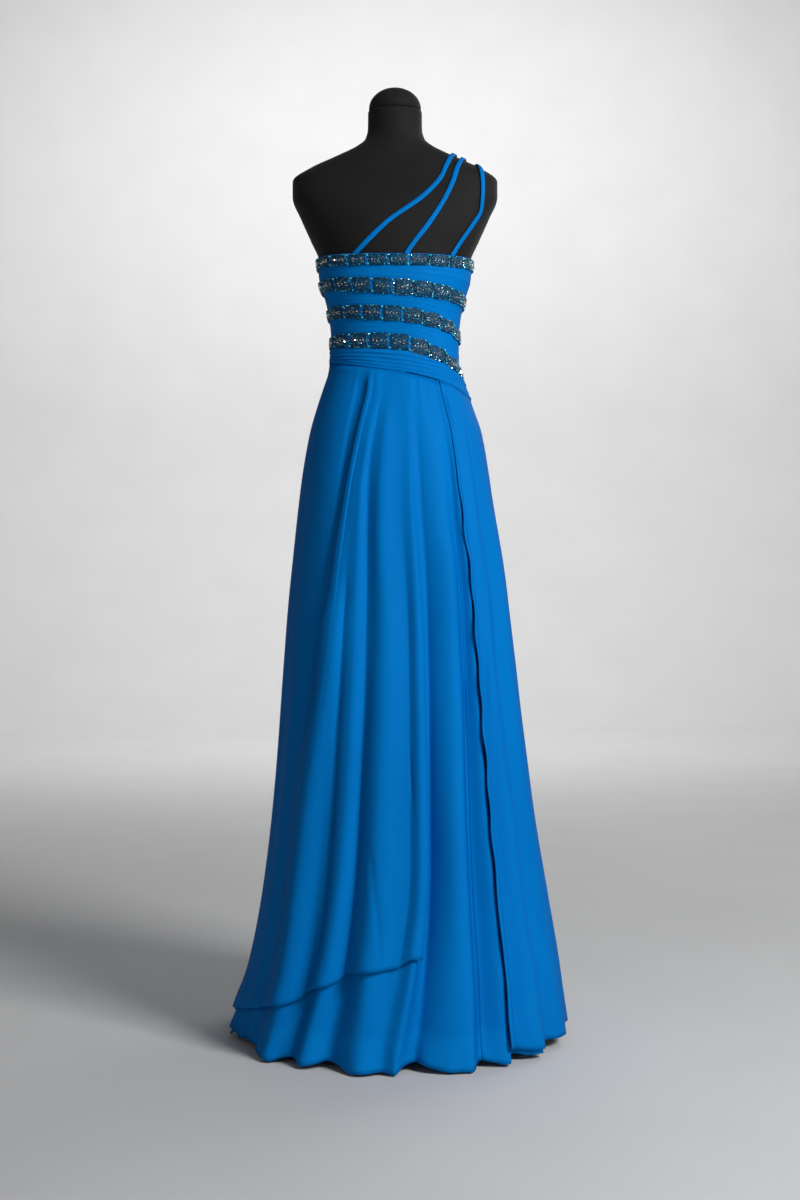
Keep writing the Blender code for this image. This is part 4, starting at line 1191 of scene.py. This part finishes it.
class BeadPile:
    """Collects copies of a few small shapes on one trim and makes them one mesh."""

    def __init__(self, seed):
        draw = np.random.default_rng(seed)
        turns = [np.linalg.qr(draw.normal(size=(3, 3)))[0] for i in range(24)]
        self.turns = [turn * np.linalg.det(turn) for turn in turns]
        self.points = []
        self.faces = []
        self.looks = []
        self.count = 0

    def add(self, shape, centre, axes, scale, look):
        points, faces = shape
        if np.isscalar(scale):
            points = points @ self.turns[len(self.points) % len(self.turns)]
        placed = centre + (points * scale) @ axes
        self.points.append(placed)
        for face in faces:
            self.faces.append([self.count + corner for corner in face])
            self.looks.append(look)
        self.count += len(points)

    def make(self, name, materials):
        mesh = bpy.data.meshes.new(name)
        mesh.from_pydata(np.concatenate(self.points).tolist(), [], self.faces)
        for material in materials:
            mesh.materials.append(material)
        mesh.polygons.foreach_set("material_index", np.array(self.looks, np.int32))
        mesh.update()
        made = bpy.data.objects.new(name, mesh)
        bpy.context.scene.collection.objects.link(made)
        return made


class Tiles:
    """Tiles of one trim: where each starts and ends, and the line that steps from tile to tile."""

    def __init__(self, name):
        self.name = name
        azimuths = np.linspace(-90, 270, 1441)
        run = self.lengths(azimuths)
        self.count = round(run[-1] / TILE_PITCH)
        pitch = run[-1] / self.count
        numbers = np.arange(self.count)
        self.starts = np.interp(numbers * pitch + TILE_GAP / 2, run, azimuths)
        self.ends = np.interp((numbers + 1) * pitch - TILE_GAP / 2, run, azimuths)
        self.centres = np.interp((numbers + 0.5) * pitch, run, azimuths)
        centre_heights = self.middle(self.centres)
        marks = []
        for places in (self.starts, self.ends):
            marks.append(centre_heights + TILE_FLATTER * (self.middle(places) - centre_heights))
        self.mark_places = np.concatenate([self.starts, self.ends])
        self.mark_heights = np.concatenate(marks)

    def middle(self, azimuths):
        top, bottom = trim_edges(self.name, azimuths)
        return (top + bottom) / 2

    def lengths(self, azimuths):
        spots = base_points(azimuths, self.middle(azimuths))
        return np.concatenate([[0], np.cumsum(np.linalg.norm(np.diff(spots, axis=0), axis=1))])

    def line(self, azimuths):
        order = np.argsort(self.mark_places)
        return np.interp(azimuths, self.mark_places[order], self.mark_heights[order], period=360)

    def half(self, azimuths):
        top, bottom = trim_edges(self.name, azimuths)
        return (top - bottom) / 2

    def bright(self, number):
        """True on the lit strap side, where brighter beads are put as painted glint."""
        return PAINTED_GLINT_SIDE[0] < self.centres[number] < PAINTED_GLINT_SIDE[1]

    def spot(self, number, along, upward, lift):
        """Place on a tile with its along, up and outward directions as rows; along and upward in metres."""
        centre = self.centres[number]
        width = TILE_PITCH - TILE_GAP
        azimuth = np.array(centre + along / width * (self.ends[number] - self.starts[number]))
        height = self.line(azimuth) + upward
        ends = np.array([self.starts[number], self.ends[number]])
        tile = base_points(ends, self.line(ends))
        out = base_normals(azimuth, height)
        direction = unit(tile[1] - tile[0])
        direction = unit(direction - out * (direction @ out))
        return base_points(azimuth, height) + out * lift, np.stack([direction, np.cross(out, direction), out])


# Stones on a tile, three layouts in mm: kind, along, up, width, height
TILE_LAYOUTS = (
    (
        ("baguette", -9.2, 0.2, 3.4, 6.8), ("round", -3.9, -0.3, 4.6, 4.6), ("baguette", 1.4, 0.4, 3.0, 6.2),
        ("round", 6.6, 0.0, 4.2, 4.2), ("small", 10.9, 0.9, 2.4, 2.4), ("small", -6.6, 4.2, 2.2, 2.2),
        ("small", -1.4, -4.4, 2.2, 2.2), ("small", 4.2, 4.0, 2.2, 2.2), ("bugle", -5.0, -5.4, 4.2, 1.1),
        ("bugle", 8.8, -4.8, 4.2, 1.1), ("bugle", 0.6, 5.6, 4.0, 1.1), ("bugle", 9.0, 4.9, 3.8, 1.1),
    ),
    (
        ("round", -8.8, 0.4, 4.8, 4.8), ("baguette", -2.9, -0.2, 3.2, 6.6), ("small", 0.6, 2.6, 2.4, 2.4),
        ("small", 0.8, -2.4, 2.2, 2.2), ("round", 4.6, 0.2, 4.2, 4.2), ("baguette", 9.9, 0.0, 2.8, 5.8),
        ("small", -5.8, -4.6, 2.2, 2.2), ("small", 7.2, 4.6, 2.0, 2.0), ("bugle", -9.4, 5.2, 4.0, 1.1),
        ("bugle", -1.8, 5.6, 4.2, 1.1), ("bugle", 2.4, -5.5, 4.2, 1.1), ("bugle", 9.0, -4.9, 3.8, 1.1),
    ),
    (
        ("baguette", -7.8, 2.3, 6.2, 2.7), ("baguette", -7.2, -2.3, 6.0, 2.6), ("round", -0.4, 0.2, 5.2, 5.2),
        ("baguette", 6.8, 2.2, 5.8, 2.6), ("baguette", 7.4, -2.4, 6.0, 2.7), ("small", -0.8, 5.2, 2.2, 2.2),
        ("small", 0.2, -5.1, 2.2, 2.2), ("small", 3.2, -0.4, 1.9, 1.9), ("bugle", -5.4, 6.1, 3.6, 1.0),
        ("bugle", 5.8, -6.0, 3.6, 1.0),
    ),
)


class GOWN_OT_trims(bpy.types.Operator):
    """Four beaded trims: tiles of seed beads, bugles and stones on dark net"""

    bl_idname = "gown.trims"
    bl_label = "Beaded trims"

    def execute(self, context):
        colours = context.scene.gown_colours
        sizes = context.scene.gown_sizes
        net = net_material("trim_net", colours.net)
        ground = chiffon_material("trim_chiffon", colours)
        looks = (
            # Silver stones: the tone shifts from stone to stone, and the dark teal-grey second tone is
            # painted dark reflection, for sparkle against the pale room
            bead_material("silver_stones", colours.silver, (0.20, 0.27, 0.30), 0.95, 0.09, 0.3),
            bead_material("aqua_beads", colours.aqua, (0.12, 0.70, 0.78), 0.1, 0.18, 0.8),
            bead_material("teal_beads", colours.teal, (0.001, 0.008, 0.030), 0.0, 0.34, 0.06, 0.3),
            bead_material("smoke_bugles", (0.02, 0.15, 0.25), (0.10, 0.30, 0.40), 0.6, 0.20, 0.4),
        )
        for number, name in enumerate(TRIM_NAMES):
            tiles = Tiles(name)
            self.ground(tiles, net, ground)
            beads = self.beads(tiles, number, sizes).make(name + "_beads", looks)
            place_piece(beads, slot="beaded_trim")
        return {"FINISHED"}

    def ground(self, tiles, net, chiffon):
        azimuths = []
        looks = []
        blocks = []
        afters = np.append(tiles.starts[1:], tiles.starts[0] + 360)
        for number, (start, end, after) in enumerate(zip(tiles.starts, tiles.ends, afters)):
            azimuths += list(start + (end - start) * TILE_STEPS)
            azimuths += list(end + (after - end) * GAP_STEPS)
            blocks += TILE_FILL + [0] * len(GAP_STEPS)
            # Painted glint: on the lit side the gaps get net too, so that the glinting beads run on without a
            # break
            looks += [0] * len(TILE_STEPS) + [0 if tiles.bright(number) else 1] * len(GAP_STEPS)
        azimuths = np.append(azimuths, azimuths[0] + 360)
        blocks = np.append(blocks, blocks[0])
        half = tiles.half(azimuths) * (0.84 + 0.16 * blocks)
        heights = tiles.line(azimuths)[None, :] + half[None, :] * NET_ROWS[:, None]
        rise = 0.0006 + NET_CROWN[:, None] * (0.0004 + 0.0017 * blocks[None, :])
        points = lifted(azimuths[None, :], heights, WALL + LAYER_GAP + rise)
        points[:, -1] = points[:, 0]
        name = tiles.name + "_net"
        uv = cloth_uv(points)
        piece = sheet_mesh(name, points, (net, chiffon), closed=True, uv=uv, looks=np.array(looks))
        thicken(piece, 0.0008)
        place_piece(piece, tiles.name, slot="beaded_trim")

    def beads(self, tiles, number, sizes):
        draw = np.random.default_rng(100 + number)
        shapes = {
            "seed": template("seed"),
            "tube": template("cone", segments=5, radius2=1.0, depth=2.0),
            "round": template("cone", segments=8, radius2=0.55, depth=1.0),
            "square": template("cone", segments=4, radius2=0.6, depth=1.0),
        }
        pile = BeadPile(200 + number)
        for tile in range(tiles.count):
            fit = min(1.0, float(tiles.half(tiles.centres[tile])) / FULL_HALF_HEIGHT)
            layout = TILE_LAYOUTS[int(draw.integers(0, len(TILE_LAYOUTS)))]
            flip = 1 if draw.random() < 0.5 else -1
            for row in layout:
                self.stone(pile, shapes, tiles, tile, row, flip, fit, draw)
            self.seeds(pile, shapes["seed"], tiles, tile, sizes, draw)
            self.gap_beads(pile, shapes, tiles, tile, draw)
        return pile

    def stone(self, pile, shapes, tiles, tile, row, flip, fit, draw):
        """One stone or bugle, a little turned and leaning."""
        kind, along, upward, width, tall = row
        jitter = draw.uniform(-0.35, 0.35, 2)
        along = (flip * along + jitter[0]) / 1000
        upward = (upward * fit + jitter[1]) / 1000
        spot, axes = tiles.spot(tile, along, upward, WALL + LAYER_GAP + STONE_LIFT)
        spin = draw.uniform(-0.16, 0.16)
        lean = draw.uniform(-0.20, 0.20, 2)
        axes = unit(np.array([[1, spin, lean[0]], [-spin, 1, lean[1]], [-lean[0], -lean[1], 1]]) @ axes)
        size = np.array([width, tall]) / 2000 * max(fit, 0.8) * draw.uniform(0.92, 1.08)
        if kind == "bugle":
            turn = np.array([[0, 0, 1], [0, 1, 0], [-1, 0, 0]])
            tube = np.array([size[1], size[1], size[0]])
            pile.add(shapes["tube"], spot, turn @ axes, tube, int(draw.choice([0, 3, 3])))
        elif kind == "baguette":
            corner = np.array([[0.7071, 0.7071, 0], [-0.7071, 0.7071, 0], [0, 0, 1]])
            shape = (shapes["square"][0] @ corner, shapes["square"][1])
            pile.add(shape, spot, axes, np.array([*(size * SQUARE_SPREAD), STONE_HEIGHT]), 0)
        else:
            pile.add(shapes["round"], spot, axes, np.array([*size, STONE_HEIGHT]), 0)

    def seeds(self, pile, seed, tiles, tile, sizes, draw):
        """Seed beads along the edges of a tile and scattered over it."""
        half = float(tiles.half(tiles.centres[tile])) - 0.0008
        width = (TILE_PITCH - TILE_GAP) / 2 - 0.0007
        spots = []
        for along in np.linspace(-width, width, 12):
            reach = half - (0.0016 if abs(along) > width * 0.95 else 0)
            spots += [(along, reach), (along, -reach)]
        for upward in np.linspace(-half, half, 8)[1:-1]:
            spots += [(-width, upward), (width, upward)]
        for i in range(SCATTERED_SEEDS):
            spots.append((draw.uniform(-0.92, 0.92) * width, draw.uniform(-0.85, 0.85) * half))
        # Painted glint: the lit side draws more silver and aqua seeds
        choices = PAINTED_GLINT_SEEDS if tiles.bright(tile) else CALM_SEEDS
        for along, upward in spots:
            along = along + draw.uniform(-0.0002, 0.0002)
            spot, axes = tiles.spot(tile, along, upward, WALL + LAYER_GAP + SEED_LIFT)
            look = int(draw.choice(choices))
            pile.add(seed, spot, axes, sizes.seed_bead * draw.uniform(0.85, 1.12), look)

    def gap_beads(self, pile, shapes, tiles, tile, draw):
        """Light beads and a small stone between two tiles, and more light beads on the lit side as painted
        glint.
        """
        half = float(tiles.half(tiles.ends[tile]))
        for share, radius, kind in GAP_BEADS + (PAINTED_GLINT_GAP_BEADS if tiles.bright(tile) else ()):
            along = TILE_PITCH / 2 + draw.uniform(-0.0004, 0.0004)
            spot, axes = tiles.spot(tile, along, share * half, WALL + LAYER_GAP + GAP_LIFT)
            if kind:
                pile.add(shapes["seed"], spot, axes, radius, kind)
            else:
                pile.add(shapes["round"], spot, axes, np.array([radius, radius, GAP_STONE_HEIGHT]), 0)


class GOWN_OT_straps(bpy.types.Operator):
    """Three turned tubes over the right shoulder"""

    bl_idname = "gown.straps"
    bl_label = "Straps"

    def execute(self, context):
        look = chiffon_material("strap_chiffon", context.scene.gown_colours)
        width = context.scene.gown_sizes.strap
        for number, (name, places) in enumerate(STRAPS.items()):
            piece = self.strap(name, Curve(STRAP_ANGLES, places), look, width, number)
            place_piece(piece, name, slot="pleated_chiffon")
        return {"FINISHED"}

    def strap(self, name, sideways, look, width, number):
        angles = strap_angles(sideways)
        spots = np.array([strap_spot(sideways, angle) for angle in angles])
        along = unit(np.gradient(spots, axis=0))
        outward = np.array([form_direction(spot) for spot in spots])
        across = unit(np.cross(along, outward))
        outward = unit(np.cross(across, along))
        wave = line_wave(80 + number, 4, 20.0, 60.0)
        turns = np.linspace(0, math.tau, STRAP_CORNERS + 1)
        rows = []
        for i, spot in enumerate(spots):
            swell = 1 + STRAP_SWELL * wave(float(angles[i]))
            half = width / 2 * swell
            middle = spot + outward[i] * (STRAP_HALF_THICKNESS + STRAP_STAND)
            ring = []
            for turn in turns:
                side = math.copysign(abs(math.cos(turn)) ** 0.8, math.cos(turn))
                lift = math.sin(turn)
                ridge = 1 + 0.10 * math.cos(3 * turn + 0.06 * angles[i])
                rise = outward[i] * STRAP_HALF_THICKNESS * lift * ridge
                ring.append(middle + across[i] * half * side + rise)
            ring[-1] = ring[0]
            rows.append(ring)
        points = np.array(rows)
        caps = []
        for ring in (points[:1], points[-1:]):
            middle = ring.mean(axis=1, keepdims=True)
            caps.append(middle + (ring - middle) * 0.05)
        points = np.concatenate([caps[0], points, caps[1]])
        piece = sheet_mesh(name + "_cloth", points, look, closed=True, uv=cloth_uv(points))
        work = bmesh.new()
        work.from_mesh(piece.data)
        holes = [edge for edge in work.edges if edge.is_boundary]
        bmesh.ops.holes_fill(work, edges=holes)
        bmesh.ops.recalc_face_normals(work, faces=work.faces)
        work.to_mesh(piece.data)
        work.free()
        return piece


def field_at(spot):
    """Below 1 inside the form, above 1 outside."""
    depth = BACK(spot[2]) if spot[1] < 0 else FRONT(spot[2])
    power = SQUARENESS(spot[2])
    return (abs(spot[0]) / HALF_WIDTH(spot[2])) ** power + (abs(spot[1]) / depth) ** power


def strap_spot(sideways, angle):
    """Point on the form under a strap."""
    turned = math.radians(angle)
    origin = np.array([float(sideways(angle)), 0.0, STRAP_PIVOT_HEIGHT])
    direction = np.array([0.0, -math.cos(turned), math.sin(turned)])
    low = 0.0
    high = 0.3
    for i in range(32):
        middle = (low + high) / 2
        spot = origin + direction * middle
        inside = spot[2] < BODY_ROWS[0][0] and field_at(spot) < 1
        low, high = (middle, high) if inside else (low, middle)
    return origin + direction * low


def form_direction(spot):
    """Outward direction of the form at a point on it."""
    slope = []
    for axis in range(3):
        move = np.zeros(3)
        move[axis] = 0.0005
        slope.append(field_at(spot + move) - field_at(spot - move))
    return np.array(slope) / np.linalg.norm(slope)


def strap_angles(sideways):
    """Angles of the strap's rows, from just inside the back neckline to the front one."""
    ends = []
    for start, step in ((STRAP_ANGLES[0], 0.25), (STRAP_ANGLES[-1] + 10, -0.25)):
        angle = start
        while True:
            spot = strap_spot(sideways, angle)
            azimuth = math.degrees(math.atan2(spot[0] / HALF_WIDTH(spot[2]), -spot[1] / BACK(spot[2])))
            if spot[2] > float(neckline(azimuth)) - STRAP_TUCK:
                break
            angle += step
        ends.append(angle)
    return np.linspace(ends[0], ends[1], STRAP_ROWS)


class GOWN_OT_stage(bpy.types.Operator):
    """Pale floor, soft lights and the camera"""

    bl_idname = "gown.stage"
    bl_label = "Stage"

    def execute(self, context):
        scene = context.scene
        floor = self.floor()
        scene.collection.objects.link(floor)
        scene.world = self.room()
        scene.view_settings.view_transform = "Standard"
        for name, place, size, power, goal in LIGHTS:
            light = bpy.data.lights.new(name, "AREA")
            light.size = size
            light.energy = power
            lamp = bpy.data.objects.new(name, light)
            lamp.location = place
            aim = Vector(goal) - Vector(place)
            lamp.rotation_euler = aim.to_track_quat("-Z", "Y").to_euler()
            scene.collection.objects.link(lamp)
        view = bpy.data.cameras.new("view")
        view.sensor_fit = "VERTICAL"
        view.sensor_height = CAMERA_SENSOR
        view.lens = CAMERA_LENS
        camera = bpy.data.objects.new("view", view)
        camera.location = CAMERA_PLACE
        camera.rotation_euler = (math.radians(90), 0, 0)
        scene.collection.objects.link(camera)
        scene.camera = camera
        return {"FINISHED"}

    def floor(self):
        """Round floor, spun from its outline."""
        outline = [(0, 0)]
        for turn in np.linspace(0, math.pi / 2, 13):
            radius = FLOOR_RADIUS + SWEEP_RADIUS * math.sin(turn)
            outline.append((radius, SWEEP_RADIUS * (1 - math.cos(turn))))
        outline.append((FLOOR_RADIUS + SWEEP_RADIUS, ROOM_HEIGHT))
        work = bmesh.new()
        line = [work.verts.new((radius, 0, height)) for radius, height in outline]
        edges = [work.edges.new(pair) for pair in zip(line, line[1:])]
        bmesh.ops.spin(
            work, geom=line + edges, cent=(0, 0, 0), axis=(0, 0, 1), angle=math.tau, steps=FLOOR_STEPS,
            use_merge=True,
        )
        bmesh.ops.remove_doubles(work, verts=work.verts, dist=0.00001)
        bmesh.ops.recalc_face_normals(work, faces=work.faces)
        if min(work.faces, key=lambda face: face.calc_center_median().length).normal.z < 0:
            bmesh.ops.reverse_faces(work, faces=work.faces)
        mesh = bpy.data.meshes.new("pale_floor")
        work.to_mesh(mesh)
        work.free()
        mesh.polygons.foreach_set("use_smooth", [True] * len(mesh.polygons))
        mesh.materials.append(floor_material("pale_floor_paint"))
        return bpy.data.objects.new("pale_floor", mesh)

    def room(self):
        """Weak even light of a pale room."""
        world = bpy.data.worlds.new("soft_room")
        world.use_nodes = True
        back = world.node_tree.nodes["Background"]
        back.inputs["Color"].default_value = ROOM_COLOUR
        back.inputs["Strength"].default_value = ROOM_STRENGTH
        return world


class GOWN_PT_panel(bpy.types.Panel):
    """Sizes, colours and steps of the gown"""

    bl_label = "Gown"
    bl_idname = "GOWN_PT_panel"
    bl_space_type = "VIEW_3D"
    bl_region_type = "UI"
    bl_category = "Gown"

    def draw(self, context):
        for group in (context.scene.gown_sizes, context.scene.gown_colours):
            box = self.layout.box()
            for name in group.__annotations__:
                box.prop(group, name)
        for operator in OPERATORS:
            self.layout.operator(operator.bl_idname)


OPERATORS = (
    GOWN_OT_form, GOWN_OT_bodice, GOWN_OT_trims, GOWN_OT_sash, GOWN_OT_skirt,
    GOWN_OT_overlays, GOWN_OT_straps, GOWN_OT_stage,
)
CLASSES = (GownSizes, GownColours) + OPERATORS + (GOWN_PT_panel,)


def register():
    for item in CLASSES:
        bpy.utils.register_class(item)
    bpy.types.Scene.gown_sizes = PointerProperty(type=GownSizes)
    bpy.types.Scene.gown_colours = PointerProperty(type=GownColours)


def unregister():
    del bpy.types.Scene.gown_colours
    del bpy.types.Scene.gown_sizes
    for item in reversed(CLASSES):
        bpy.utils.unregister_class(item)


def main():
    register()
    bpy.ops.gown.form()
    bpy.ops.gown.bodice()
    bpy.ops.gown.trims()
    bpy.ops.gown.sash()
    bpy.ops.gown.skirt()
    bpy.ops.gown.overlays()
    bpy.ops.gown.straps()
    bpy.ops.gown.stage()


if __name__ == "__main__":
    main()
